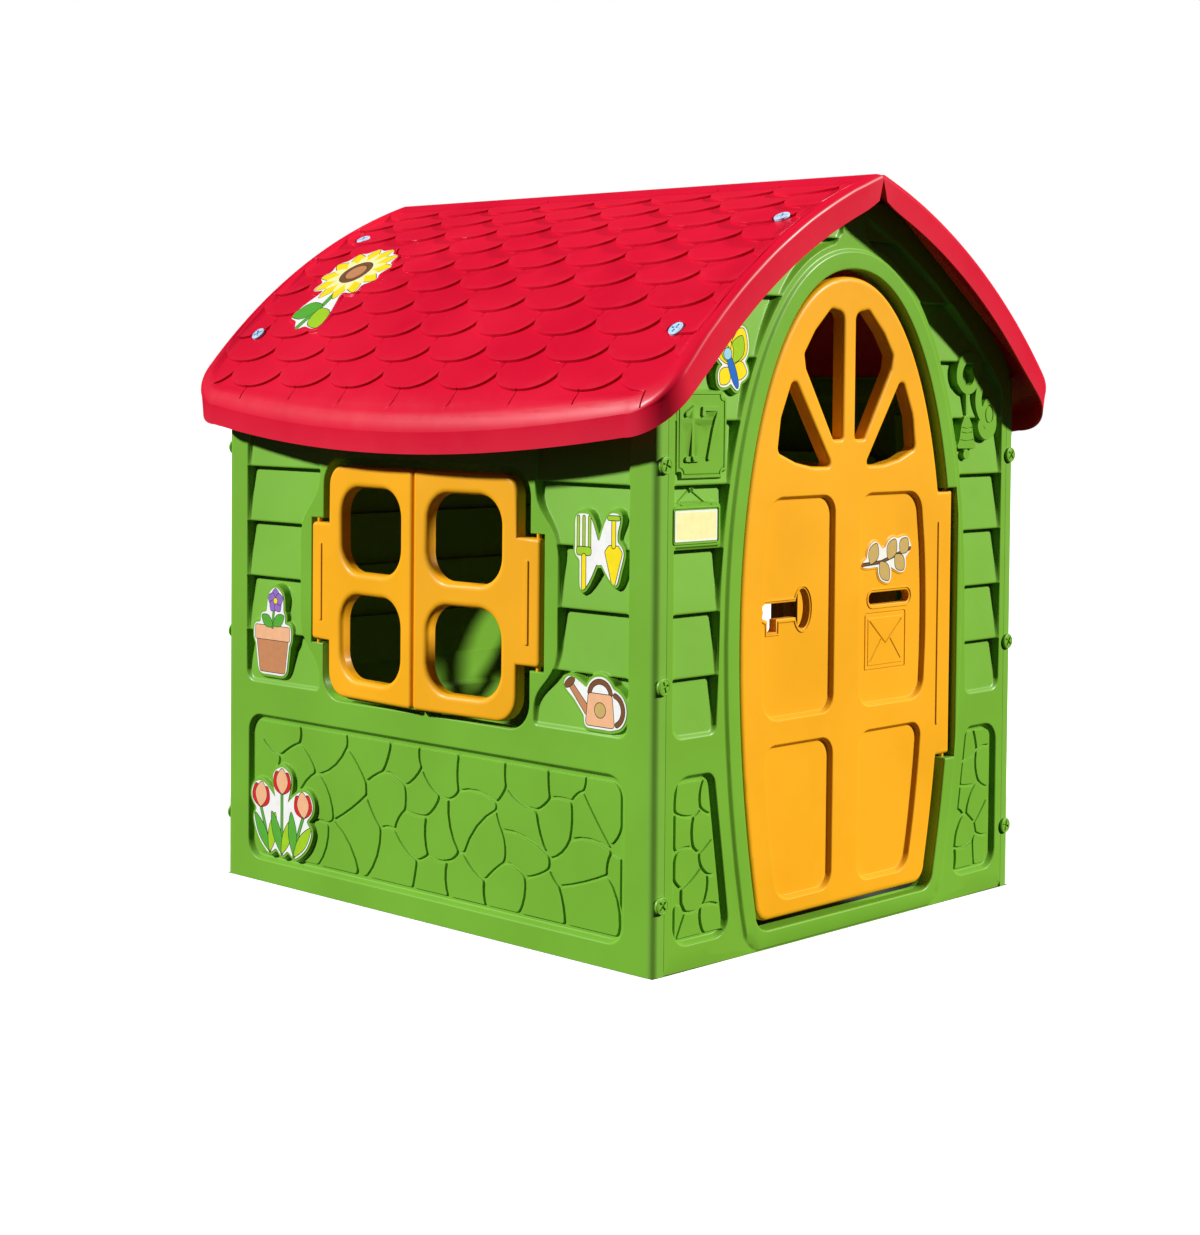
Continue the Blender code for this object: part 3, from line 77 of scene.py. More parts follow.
# ---------------------------------------------------------------- roof profile
RIDGE_X = 0.0034
RIDGE_Z = 1.2065
ROOF_HALF_LENGTH = 0.567
ROOF_SLOPE_AT_RIDGE = math.radians(18.5)
ROOF_BEND = math.radians(54.5)
ROOF_BEND_END = 0.5635
EAVE_BEND = math.radians(97.8)
EAVE_ARC = 0.6882
EAVE_BOW = 0.18
EAVE_CORNER = 0.080
ROOF_EDGE_ROUND = 0.011
EAVE_SHOULDER = 0.034         # width of the gentle shoulder above the eave
EAVE_SHOULDER_RADIUS = 0.091
SHOULDER_START = 0.560         # the shoulder's own lines are drawn from here down to the eave
FASCIA_DEPTH = 0.046
EAVE_FASCIA_DEPTH = 0.038
EAVE_FASCIA_ANGLE = math.radians(10.0)
EAVE_TURN_START = 0.50
EAVE_TURN_LENGTH = 0.14
RIDGE_LIP = 0.018
ROOF_LEAN = math.radians(27.0)
ROOF_LEAN_ARC = 0.070
ROOF_FIELD_DROP = 0.006
FIELD_FADE = 0.85
FIELD_EDGE = 0.014
FIELD_EDGE_AT_EAVE = 0.030
FIELD_SLOPE = 0.020
FIELD_CORNER = 0.085
FIELD_TOP = 0.020
FIELD_TOP_CORNER = 0.022
RIDGE_CLEAR = 0.030         # the ridge's own edge points stay this far from the gable ends

# ---------------------------------------------------------------- shingles
SHINGLE_WIDTH = 0.1333
SHINGLE_ROW = 0.0585
SHINGLE_LAST_NOTCH = 0.6200
SHINGLE_ROWS = 11
SHINGLE_SHIFT = -0.0165
SHINGLE_DROP = 0.047
SHINGLE_POWER = 2.3
SHINGLE_RISE = 0.0030       # a shingle's foot stands this far above the sunk field
SHINGLE_TILT = 0.0072       # each shingle's foot stands this far above its top
SHINGLE_SIDE_TILT = 0.0010  # and its left edge this far above its right edge
SHINGLE_LENGTH = 0.107
SHINGLE_CRISP = 0.0010      # width of the step on a shingle's right flank
SHINGLE_SOFT = 0.0008       # extra width of the step on its left flank
SOFT_FLANK = (0.62, 0.45)   # where the soft flank ends, and over what share of the width
SHINGLE_LIP = 0.0022
JOINT_WIDTH = 0.0013
JOINT_DEPTH = 0.0028
SHINGLE_LIP_WIDTH = 0.0016
SHINGLE_END = (0.615, 0.660)  # the relief dies out between these arc lengths
EAVE_SLIT = (0.6085, 0.6340)  # the joints below the last scallops

# ---------------------------------------------------------------- wall relief
PLANK_PITCH = 0.0953
PLANK_LINE = 0.7220
PLANK_SHALLOW = 0.003
PLANK_DEEP = 0.015
PLANK_STEP = 0.0015
PLANK_ROUND = 0.0026
PLANK_DROP = 0.0011         # how far a plank's foot is rounded back
PLANK_EDGE = 0.4225         # outer edge of the planks on the gable walls
PLANK_FOOT_U = 0.3215       # inner edge of the front planks at their foot
PLANK_HIP = (0.3180, 0.440)  # where that edge meets the band round the door
PLANK_PEAK = (0.028, 1.112)
PLANK_BOTTOM = 0.345
POCKET_SLOPE = 0.008
POCKET_ROUND = 0.022
GABLE_BORDER = 0.052
STONE_BOTTOM = 0.036
STONE_TOP = 0.292
STONE_DEPTH = 0.009
STONE_ROUND = 0.034
STONE_RISE = 0.0030
STONE_SLOPE = 0.0018
STONE_GROOVE = 0.0012
STONE_CORNER = 0.017
STONE_BOW = 0.11
STONE_SHAKE = (0.36, 0.33)        # how far a stone strays, as a share of its grid place
STONE_AREA_Z = (0.047, 0.281)
FRONT_PANEL_U = (0.2850, 0.4180, 0.3250)   # lower inner, outer and upper inner corners
FRONT_STONES = ((0.2980, 0.046), (0.4080, 0.046), (0.4080, 0.282), (0.3340, 0.282))
SIDE_STONES = (0.452, 0.441, 9)   # half width of the panel and of the stones, and stones in a row
BACK_STONES = (0.418, 0.407, 8)
CORNER_ROUND = 0.012
RETURN_FLANGE = 0.024
RETURN_EDGE = HALF_WIDTH - RETURN_FLANGE
LIP_EDGE = 0.448
LIP_STEP = 0.0004
LIP_TOP = 0.905
FOOT_RISE = 0.006
WALL_FLANGE = 0.020
TOP_FLANGE = 0.025
TOP_FLANGE_Z = 0.880        # the gable walls' edges are deeper above this height
PLAIN_EDGE = 0.004
FINE_SLOPE = 0.0035         # edges narrower than this get no layout lines on the inner face
ROOF_CLEARANCE = 0.0128
GABLE_FLAT_Z = 1.164

# ---------------------------------------------------------------- door and its opening
OPENING_HALF = 0.2745
OPENING_WIDEST_Z = 0.480
OPENING_CROWN_Z = 1.0555
OPENING_BOTTOM_Z = 0.030
OPENING_POWER = 2.15
OPENING_TAPER = 0.255
OPENING_CORNER = 0.030
OPENING_FLANGE = 0.026
OPENING_ROUND = 0.003
BAND_WIDTH = 0.034
BAND_SLOPE = 0.008
BAND_HEIGHT = 0.004
BAND_TO_PLANKS = 0.042
NOTCH_X = 0.289
NOTCH_Z = (0.2445, 0.7000)
DOOR_GAP = 0.0115
DOOR_SET_BACK = 0.005
DOOR_THICKNESS = 0.022
DOOR_ROUND = 0.008
BLOCK_X = 0.286
BLOCK_Z = (0.2495, 0.6950)
DOOR_AXIS_X = 0.274
DOOR_AXIS_H = -0.014
PANEL_INSET = 0.050
PANEL_CENTRE_GAP = 0.032
PANEL_DEPTH = 0.008
PANEL_SLOPE = 0.0068
PANEL_ROUND = 0.038
PANEL_HEIGHTS = ((0.350, 0.699), (0.067, 0.314))
FAN_ROUND = 0.006
SLOT_ROUND = 0.0015
LETTER_SLOT = (0.067, 0.5140, 0.175, 0.5340)
DOOR_BEAD = (0.2430, 0.3020, 0.2500, 0.6450)
BEAD_ROUND = 0.0030
BEAD_SLOPE = 0.0015

# ---------------------------------------------------------------- window and shutters
WINDOW_HALF = 0.248
WINDOW_Z = (0.3355, 0.7425)
WINDOW_TOP_ROUND = 0.050
WINDOW_BOTTOM_ROUND = 0.060
WINDOW_NOTCH = 0.2792
WINDOW_NOTCH_Z = (0.4290, 0.6400)
SILL_STOP = (-0.004, 0.021)
SILL_STOP_Z = 0.3415
STOP_LIP_LOW = 0.700           # the stop round the top of a window ends at this height
STOP_LIP_REACH = (-0.0015, 0.0155)
STOP_LIP_DEPTH = (0.0210, 0.0250)
SURROUND_NARROW = 0.257
SURROUND_WIDE = 0.308
SURROUND_SHOULDERS = (0.390, 0.442, 0.633, 0.690)
SURROUND_BEND = 0.070
SIDE_POCKET = (0.458, 0.850)   # outer edge and top of the planks beside a window
SHUTTER_AXIS_Y = 0.2637
SHUTTER_AXIS_H = -0.005
SHUTTER_FRONT = 0.010
SHUTTER_THICKNESS = 0.020
SHUTTER_ROUND = 0.006
SHUTTER_BLOCK = (-0.010, 0.038)
SHUTTER_BLOCK_Z = (0.4355, 0.6335)
SHUTTER_END = 0.2630
SHUTTER_Z = (0.3445, 0.7305)
SHUTTER_ROUND_TOP = 0.034
SHUTTER_ROUND_BOTTOM = 0.046
SHUTTER_CORNER = 0.0075
SHUTTER_BEAD = (0.0120, 0.4680, 0.0210, 0.6000)
SHUTTER_AJAR = math.radians(3.6)
PANE_U = (0.073, 0.231)
PANE_Z = ((0.377, 0.517), (0.555, 0.695))
PANE_CORNER = 0.046
PANE_ROUND = 0.009

# ---------------------------------------------------------------- hinge pins and screws
PIN_RADIUS = 0.0040
PIN_REACH = 0.0105
HEAD_RADIUS = 0.0130
HEAD_HEIGHT = 0.0045
HEAD_ROUND = 0.0016
CROSS_ARM = 0.66            # share of the head's radius
CROSS_WIDTH = 0.0017
CROSS_DEPTH = 0.0024
SHANK_RADIUS = 0.0030
SHANK_LENGTH = 0.021
CORNER_SCREW_X = 0.4440
CORNER_SCREW_Z = (0.1063, 0.4284, 0.7527)
ROOF_SCREW_Y = 0.497
ROOF_SCREW_X = (0.168, 0.410)
ROOF_DIMPLE = 0.0020
DIMPLE_RADIUS = HEAD_RADIUS + 0.0035

# ---------------------------------------------------------------- stickers
STICKER_THICKNESS = 0.0005
INK_LINE = 0.0011
STICKER_BOSS = 0.004
BOSS_SLOPE = 0.004
ROOF_PAD = 0.002             # the roof sticker's pad stands this far above the sunk field
DIE_CUT_MARGIN = 0.0045

# ---------------------------------------------------------------- colours (linear)
GREEN = (0.166, 0.412, 0.029)
RED = (0.650, 0.003, 0.029)
YELLOW = (0.880, 0.400, 0.003)
SCREW_BLUE = (0.46, 0.66, 0.86)
INKS = {
    "white": (0.90, 0.90, 0.88), "terracotta": (0.58, 0.25, 0.11), "brown": (0.20, 0.08, 0.03),
    "leaf": (0.10, 0.42, 0.04), "lime": (0.36, 0.62, 0.02), "violet": (0.30, 0.16, 0.55),
    "yellow": (0.95, 0.76, 0.01), "red": (0.72, 0.02, 0.02), "blue": (0.02, 0.15, 0.62),
    "sky": (0.35, 0.68, 0.86), "tan": (0.60, 0.42, 0.14), "cream": (0.95, 0.90, 0.45),
    "skin": (0.88, 0.48, 0.26), "ink": (0.02, 0.03, 0.02),
}

# ---------------------------------------------------------------- plastic surface
PLASTIC_IOR = 1.49
MOTTLING = 0.05
EDGE_POINTINESS = (0.52, 0.62)     # paler over this range: partly wear, partly a painted highlight along convex edges
# painted shade: concave creases are darkened in colour over this pointiness range, by the amount on the next
# line
CREASE_POINTINESS = (0.488, 0.400)
CREASE_SHADE = 0.75
GRAIN_DEPTH = 0.00012
RIPPLE_DEPTH = 0.0012

# ---------------------------------------------------------------- camera and light
CAMERA_AT = (-2.915, -2.755, 0.876)
CAMERA_FORWARD = (0.7205, 0.6925, -0.0342)
CAMERA_ROLL = math.radians(0.50)
CAMERA_LENS = 66.84
CAMERA_SHIFT_Y = -0.1287
WHITE = (1.0, 1.0, 1.0, 1.0)
WORLD_LIGHT = 0.035
FLOOR_REACH = 30.0
# direction it shines from, strength, spread in degrees, colour
KEY_LIGHT = ((0.55, -0.70, 0.46), 5.0, 4.0, (1.0, 0.97, 0.90))
SIDE_LIGHT = ((-0.62, 0.42, 0.42), 4.6, 4.0, (1.0, 1.0, 1.0))


# ================================================================ flat geometry helpers
def rounded_polygon(corners, steps=9):
    """Closed outline from (x, y, radius) corners, each turned into an arc."""
    loop = []
    total = len(corners)
    for index, (x, y, radius) in enumerate(corners):
        here = Vector((x, y))
        before = Vector(corners[index - 1][:2]) - here
        after = Vector(corners[(index + 1) % total][:2]) - here
        angle = before.angle(after)
        if radius <= 0.0 or angle > 3.10:
            loop.append((x, y))
            continue
        most = 0.46 * min(before.length, after.length) * math.tan(angle / 2.0)
        radius = min(radius, most)
        reach = radius / math.tan(angle / 2.0)
        start = here + before.normalized() * reach
        end = here + after.normalized() * reach
        middle = (before.normalized() + after.normalized()).normalized()
        centre = here + middle * (radius / math.sin(angle / 2.0))
        first = math.atan2(start.y - centre.y, start.x - centre.x)
        last = math.atan2(end.y - centre.y, end.x - centre.x)
        turn = (last - first + math.pi) % (2.0 * math.pi) - math.pi
        count = max(2, int(steps * abs(turn) / (math.pi / 2.0) + 0.5))
        for step in range(count + 1):
            a = first + turn * step / count
            loop.append((centre.x + radius * math.cos(a), centre.y + radius * math.sin(a)))
    return loop


def box_loop(u0, v0, u1, v1, radius, steps=9):
    corners = [(u0, v0, radius), (u1, v0, radius), (u1, v1, radius), (u0, v1, radius)]
    return rounded_polygon(corners, steps)


def ellipse_loop(cu, cv, ru, rv, count=40, tilt=0.0):
    loop = []
    for k in range(count):
        a = 2.0 * math.pi * k / count
        x = ru * math.cos(a)
        y = rv * math.sin(a)
        loop.append((cu + x * math.cos(tilt) - y * math.sin(tilt),
                     cv + x * math.sin(tilt) + y * math.cos(tilt)))
    return loop


def disc(cu, cv, radius, count):
    return ellipse_loop(cu, cv, radius, radius, count)


def mirrored(loop):
    return [(-u, v) for u, v in reversed(loop)]


def offset_loop(loop, distance):
    """Move a counter-clockwise loop inwards (positive) or outwards (negative)."""
    points = np.array(loop)
    after = np.roll(points, -1, axis=0) - points
    after /= np.linalg.norm(after, axis=1)[:, None]
    before = np.roll(after, 1, axis=0)
    n1 = np.stack([-before[:, 1], before[:, 0]], axis=1)
    n2 = np.stack([-after[:, 1], after[:, 0]], axis=1)
    spread = np.maximum(1.0 + (n1 * n2).sum(axis=1), 0.35)
    moved = points + distance * (n1 + n2) / spread[:, None]
    return [tuple(p) for p in moved]


def inside(points, loop):
    """Even-odd test of many points against one closed loop."""
    a = np.array(loop)
    b = np.roll(a, -1, axis=0)
    x = points[:, 0][:, None]
    y = points[:, 1][:, None]
    crosses = (a[None, :, 1] > y) != (b[None, :, 1] > y)
    rise = b[None, :, 1] - a[None, :, 1]
    rise = np.where(rise == 0.0, 1e-12, rise)
    at = a[None, :, 0] + (y - a[None, :, 1]) * (b[None, :, 0] - a[None, :, 0]) / rise
    return (crosses & (x < at)).sum(axis=1) % 2 == 1


def distance_to_lines(points, start, end):
    """Distance from each point to the nearest of many straight pieces."""
    edge = end - start
    length = np.maximum((edge ** 2).sum(axis=1), 1e-18)
    best = np.full(len(points), 1e9)
    for low in range(0, len(points), 4000):
        part = points[low:low + 4000]
        rel = part[:, None, :] - start[None, :, :]
        t = np.clip((rel * edge[None]).sum(axis=2) / length[None], 0.0, 1.0)
        gap = np.linalg.norm(rel - t[:, :, None] * edge[None], axis=2)
        best[low:low + 4000] = gap.min(axis=1)
    return best


def depth_inside(points, loop, reach=0.05):
    """Signed distance to a closed loop, positive inside; exact only within reach of the loop."""
    a = np.array(loop)
    low = a.min(axis=0) - reach
    high = a.max(axis=0) + reach
    depth = np.full(len(points), -reach)
    near = ((points >= low) & (points <= high)).all(axis=1)
    if not near.any():
        return depth
    some = points[near]
    gap = distance_to_lines(some, a, np.roll(a, -1, axis=0))
    within = np.zeros(len(some), dtype=bool)
    for start in range(0, len(some), 4000):
        within[start:start + 4000] = inside(some[start:start + 4000], loop)
    depth[near] = np.where(within, gap, -gap)
    return depth


def loose_grid(low, high, pitch, loop, margin):
    """Evenly spaced layout points that lie well inside a loop."""
    us = np.arange(low[0], high[0], pitch)
    vs = np.arange(low[1], high[1], pitch)
    grid = np.array([(u, v) for u in us for v in vs])
    return [tuple(p) for p in grid[depth_inside(grid, loop, 0.2) > margin]]


def ramp(t):
    t = np.clip(t, 0.0, 1.0)
    return t * t * (3.0 - 2.0 * t)


def eased(distance, radius):
    """Height of a rounded edge: zero at one radius in, minus the radius at the rim."""
    t = np.clip(distance, 0.0, radius)
    return np.sqrt(np.maximum(radius ** 2 - (radius - t) ** 2, 0.0)) - radius


def easing_steps(radius, fine=True):
    """Distances from a rounded edge at which it needs layout lines."""
    angles = (14.0, 28.0, 42.0, 56.0, 72.0, 90.0) if fine else (45.0, 90.0)
    steps = [radius * (1.0 - math.cos(math.radians(a))) for a in angles]
    return steps + [radius + GUARD] if fine else steps


def closed(loop):
    return list(loop) + [loop[0]]


def easing_rings(loop, radius, outward=False, fine=True, start=0.0):
    """Closed layout lines along a rounded edge that runs inwards or outwards from a loop."""
    turn = -1.0 if outward else 1.0
    return [closed(offset_loop(loop, turn * (start + step))) for step in easing_steps(radius, fine)]


# ================================================================ relief features
class Patch:
    """A raised or sunk area with a closed outline and a soft edge of a given width."""

    def __init__(self, outline, slope, height, outward=False, level=False, guarded=True):
        self.outline = outline
        self.slope = slope
        self.height = height
        self.outward = outward
        self.level = level
        self.guarded = guarded

    def share(self, points):
        depth = depth_inside(points, self.outline)
        if self.outward:
            depth = depth + self.slope
        return ramp(depth / self.slope)

    def lines(self, fine):
        parts = (0.0, 0.12, 0.3, 0.5, 0.7, 0.88, 1.0) if fine else (0.0, 1.0)
        steps = [part * self.slope for part in parts]
        if fine and self.guarded:
            steps += [self.slope + GUARD, -GUARD]
        turn = -1.0 if self.outward else 1.0
        return [closed(offset_loop(self.outline, turn * step) if step else self.outline) for step in steps]


class Stroke:
    """A raised or sunk line with round ends."""

    def __init__(self, path, width, slope, height, level=False, looped=False):
        self.path = list(path) + ([path[0]] if looped else [])
        self.width = width
        self.slope = slope
        self.height = height
        self.level = level

    def share(self, points):
        path = np.array(self.path)
        reach = self.width + self.slope
        low = path.min(axis=0) - reach
        high = path.max(axis=0) + reach
        near = ((points >= low) & (points <= high)).all(axis=1)
        share = np.zeros(len(points))
        if near.any():
            gap = distance_to_lines(points[near], path[:-1], path[1:])
            share[near] = ramp((self.width + self.slope - gap) / self.slope)
        return share

    def lines(self, fine):
        parts = (0.0, 0.3, 0.7, 1.0) if fine else (0.0, 1.0)
        reaches = [self.width + part * self.slope for part in parts]
        if fine:
            reaches.append(self.width + self.slope + 0.6 * GUARD)
        return [capsule(self.path, reach) for reach in reaches]


def capsule(path, reach):
    """Outline at a distance all round an open path, closed on itself."""
    points = np.array(path)
    run = np.diff(points, axis=0)
    run /= np.maximum(np.linalg.norm(run, axis=1)[:, None], 1e-9)
    along = np.vstack([run[:1], run[:-1] + run[1:], run[-1:]])
    along /= np.maximum(np.linalg.norm(along, axis=1)[:, None], 1e-9)
    side = np.stack([-along[:, 1], along[:, 0]], axis=1) * reach
    loop = list(points + side)
    for centre, heading in ((points[-1], run[-1]), (points[0], -run[0])):
        base = math.atan2(heading[1], heading[0])
        for step in range(1, 6):
            a = base + math.pi / 2 - math.pi * step / 6
            loop.append(centre + reach * np.array([math.cos(a), math.sin(a)]))
        if np.allclose(centre, points[-1]):
            loop += list((points - side)[::-1])
    return closed([tuple(p) for p in loop])


def plank_depth(v):
    """Depth of the lapped planks: shallow at a plank's foot, deep under the next one."""
    along = np.mod(v - PLANK_LINE, PLANK_PITCH)
    rise = PLANK_PITCH - PLANK_STEP
    slope = PLANK_SHALLOW + (PLANK_DEEP - PLANK_SHALLOW) * np.minimum(along / rise, 1.0)
    back = np.clip((along - rise) / PLANK_STEP, 0.0, 1.0)
    foot = PLANK_DROP * np.clip(1.0 - along / PLANK_ROUND, 0.0, 1.0) ** 2
    return slope - (PLANK_DEEP - PLANK_SHALLOW - PLANK_DROP) * back + foot * (back == 0.0)


def plank_lines(pocket, fine):
    """Layout lines at the step under each plank."""
    low = min(v for _, v in pocket)
    high = max(v for _, v in pocket)
    offsets = [0.0, -PLANK_STEP]
    if fine:
        offsets += [PLANK_ROUND * 0.3, PLANK_ROUND * 0.65, PLANK_ROUND, PLANK_ROUND + GUARD]
        offsets += [-PLANK_STEP - GUARD]
    lines = []
    first = math.ceil((low - PLANK_LINE) / PLANK_PITCH)
    last = math.floor((high - PLANK_LINE) / PLANK_PITCH)
    for index in range(first, last + 1):
        for offset in offsets:
            v = PLANK_LINE + index * PLANK_PITCH + offset
            if low + 0.001 < v < high - 0.001:
                for u0, u1 in spans(pocket, v):
                    if u1 - u0 > 0.004:
                        lines.append([(u0 + 0.0003, v), (u1 - 0.0003, v)])
    return lines


def spans(loop, v):
    """The u ranges where the horizontal line at v lies inside the loop."""
    hits = []
    for index, (u0, v0) in enumerate(loop):
        u1, v1 = loop[(index + 1) % len(loop)]
        if (v0 > v) != (v1 > v):
            hits.append(u0 + (v - v0) * (u1 - u0) / (v1 - v0))
    hits.sort()
    return list(zip(hits[0::2], hits[1::2]))


class Planks(Patch):
    """A sunk area filled with lapped planks."""

    def __init__(self, outline):
        super().__init__(outline, POCKET_SLOPE, lambda points: -plank_depth(points[:, 1]))

    def lines(self, fine):
        return super().lines(fine) + plank_lines(self.outline, fine)


def raised(loop, slope=0.004, height=0.0):
    """A level pad over whatever lies under it, with its soft edge outside the loop."""
    return Patch(loop, slope, height, outward=True, level=True)


def relief_height(points, features):
    height = np.zeros(len(points))
    for feature in features:
        share = feature.share(points)
        touched = share > 0.0
        if not touched.any():
            continue
        value = feature.height
        if callable(value):
            value = value(points[touched])
        if feature.level:
            height[touched] += share[touched] * (value - height[touched])
        else:
            height[touched] += share[touched] * value
    return height


def relief_lines(features, fine):
    lines = []
    for feature in features:
        lines += feature.lines(fine)
    return lines


# ================================================================ triangulated skins
def triangulate(loops, lines, loose=()):
    """Triangles inside loops[0] and outside the other loops, with every line as an edge."""
    points = []
    edges = []
    for loop in loops:
        start = len(points)
        count = len(loop)
        points.extend(Vector(p) for p in loop)
        edges.extend((start + k, start + (k + 1) % count) for k in range(count))
    for line in lines:
        start = len(points)
        points.extend(Vector(p) for p in line)
        edges.extend((start + k, start + k + 1) for k in range(len(line) - 1))
    points.extend(Vector(p) for p in loose)
    flat, _, faces, _, _, _ = delaunay_2d_cdt(points, edges, [], 0, 1e-6)
    layout = np.array([(p[0], p[1]) for p in flat])
    triangles = np.array(faces)
    centres = layout[triangles].mean(axis=1)
    keep = inside(centres, loops[0])
    for hole in loops[1:]:
        keep &= ~inside(centres, hole)
    kept = triangles[keep]
    used = np.unique(kept)
    renumber = -np.ones(len(layout), dtype=int)
    renumber[used] = np.arange(len(used))
    return layout[used], renumber[kept]


def border_chains(triangles):
    """Directed border loops of a triangle set: counter-clockwise outside, clockwise at holes."""
    directed = set()
    for a, b, c in triangles:
        directed.update(((a, b), (b, c), (c, a)))
    following = {a: b for a, b in directed if (b, a) not in directed}
    chains = []
    while following:
        first = next(iter(following))
        chain = [first]
        at = following.pop(first)
        while at != first:
            chain.append(at)
            at = following.pop(at)
        chains.append(chain)
    return chains


def signed_area(points):
    x = points[:, 0]
    y = points[:, 1]
    return 0.5 * float(np.sum(x * np.roll(y, -1) - np.roll(x, -1) * y))


def matching_chain(chain, layout, others, other_layout):
    """The chain on the inner skin that runs beside this chain of the outer skin."""
    here = layout[chain]
    turn = signed_area(here) > 0.0
    best = None
    for other in others:
        there = other_layout[other]
        if (signed_area(there) > 0.0) != turn:
            continue
        away = np.linalg.norm(here.mean(axis=0) - there.mean(axis=0))
        away += abs(abs(signed_area(here)) - abs(signed_area(there)))
        if best is None or away < best[0]:
            best = (away, other)
    return best[1]


class Skin:
    """One moulded piece: an outline, its holes, and height functions for its two faces."""

    def __init__(self, outline, holes, outer, inner, edge_depth, place, turn_in=None):
        self.outline = outline
        self.holes = holes
        self.outer = outer
        self.inner = inner
        self.edge_depth = edge_depth
        self.place = place
        self.turn_in = turn_in or place

    def mesh(self, outer_lines, inner_lines, loose=(), loose_inner=()):
        outer_layout, outer_faces = triangulate([self.outline] + self.holes, outer_lines, loose)
        inner_outline = offset_loop(self.outline, SKIN)
        inner_holes = [offset_loop(hole, -SKIN) for hole in self.holes]
        inner_layout, inner_faces = triangulate([inner_outline] + inner_holes, inner_lines, loose_inner)
        vertices = [self.place(outer_layout, self.outer(outer_layout))]
        vertices.append(self.place(inner_layout, self.inner(inner_layout)))
        base = len(outer_layout)
        faces = [tuple(f) for f in outer_faces]
        faces += [tuple(base + np.array(f)[::-1]) for f in inner_faces]
        count = base + len(inner_layout)
        inner_chains = border_chains(inner_faces)
        for chain in border_chains(outer_faces):
            other = matching_chain(chain, outer_layout, inner_chains, inner_layout)
            near = outer_layout[chain]
            far = inner_layout[other]
            vertices.append(self.turn_in(near, self.edge_depth(near)))
            vertices.append(self.turn_in(far, self.edge_depth(far)))
            low = count
            deep = count + len(chain)
            count = deep + len(other)
            faces += band_faces(chain, range(low, deep))
            for k in range(len(other)):
                n = (k + 1) % len(other)
                faces.append((base + other[k], base + other[n], deep + n, deep + k))
            rings = [(near, low), (far, deep)]
            if signed_area(near) < 0.0:
                rings.reverse()
            faces += rim_faces(rings)
        return np.concatenate(vertices), faces


def rim_faces(rings):
    """Faces between two nested rings of points, each given with its first vertex number."""
    (outer, first), (inner, second) = rings
    layout, triangles = triangulate([list(map(tuple, outer)), list(map(tuple, inner))], [])
    lookup = []
    for point in layout:
        to_first = np.linalg.norm(outer - point, axis=1)
        to_second = np.linalg.norm(inner - point, axis=1)
        if to_first.min() <= to_second.min():
            lookup.append(first + int(to_first.argmin()))
        else:
            lookup.append(second + int(to_second.argmin()))
    return [tuple(lookup[i] for i in f[::-1]) for f in triangles]


# ================================================================ outlines shared with the frame
def arch_half_width(z, grow):
    half = OPENING_HALF + grow
    crown = OPENING_CROWN_Z - OPENING_WIDEST_Z + grow
    if z >= OPENING_WIDEST_Z:
        ratio = min((z - OPENING_WIDEST_Z) / crown, 1.0)
        return half * (1.0 - ratio ** OPENING_POWER) ** (1.0 / OPENING_POWER)
    return half - OPENING_TAPER * (OPENING_WIDEST_Z - z) ** 2


def crown_point(degrees, grow):
    """A point of the arch above its widest height, from 0 degrees at the side to 90 at the crown."""
    a = math.radians(degrees)
    tall = OPENING_CROWN_Z + grow - OPENING_WIDEST_Z
    return ((OPENING_HALF + grow) * math.cos(a) ** (2.0 / OPENING_POWER),
            OPENING_WIDEST_Z + tall * math.sin(a) ** (2.0 / OPENING_POWER))


def arch_loop(grow, notch_x=None, notch_z=None, notch_round=0.0):
    """The door arch, counter-clockwise, with an optional square notch on the right."""
    bottom = OPENING_BOTTOM_Z - grow
    corner = OPENING_CORNER
    foot = arch_half_width(bottom + corner, grow)
    right = []
    for step in range(11):
        a = math.radians(-90.0 + 90.0 * step / 10)
        right.append((foot - corner * (1.0 - math.cos(a)), bottom + corner * (1.0 + math.sin(a))))
    for z in np.linspace(bottom + corner + 0.02, OPENING_WIDEST_Z, 16):
        right.append((arch_half_width(z, grow), float(z)))
    right += [crown_point(90.0 * step / 48, grow) for step in range(1, 48)]
    left = mirrored(right)
    if notch_x is not None:
        low, high = notch_z
        corners = [(arch_half_width(low - 0.004, grow), low - 0.004, 0.0),
                   (arch_half_width(low, grow), low, notch_round),
                   (notch_x, low, notch_round), (notch_x, high, notch_round),
                   (arch_half_width(high, grow), high, notch_round),
                   (arch_half_width(high + 0.004, grow), high + 0.004, 0.0)]
        notch = rounded_polygon(corners + [(0.0, high, 0.0), (0.0, low, 0.0)], 5)[:-2]
        below = [p for p in right if p[1] < low - 0.008]
        above = [p for p in right if p[1] > high + 0.008]
        right = below + notch + above
    return right + [(0.0, OPENING_CROWN_Z + grow)] + left


def roof_slope(s):
    upper = ROOF_SLOPE_AT_RIDGE + ROOF_BEND * np.minimum(s, ROOF_BEND_END)
    return upper + EAVE_BEND * np.maximum(s - ROOF_BEND_END, 0.0)


def roof_point(s, h):
    """X and Z on the right roof half at arc length s from the ridge, h above the reference."""
    s = np.asarray(s, dtype=float)
    a = ROOF_SLOPE_AT_RIDGE + ROOF_BEND * np.minimum(s, ROOF_BEND_END)
    x = RIDGE_X + (np.sin(a) - math.sin(ROOF_SLOPE_AT_RIDGE)) / ROOF_BEND
    z = RIDGE_Z - (math.cos(ROOF_SLOPE_AT_RIDGE) - np.cos(a)) / ROOF_BEND
    b = roof_slope(s)
    x = x + (np.sin(b) - np.sin(a)) / EAVE_BEND
    z = z - (np.cos(a) - np.cos(b)) / EAVE_BEND
    return x + np.sin(b) * h, z + np.cos(b) * h


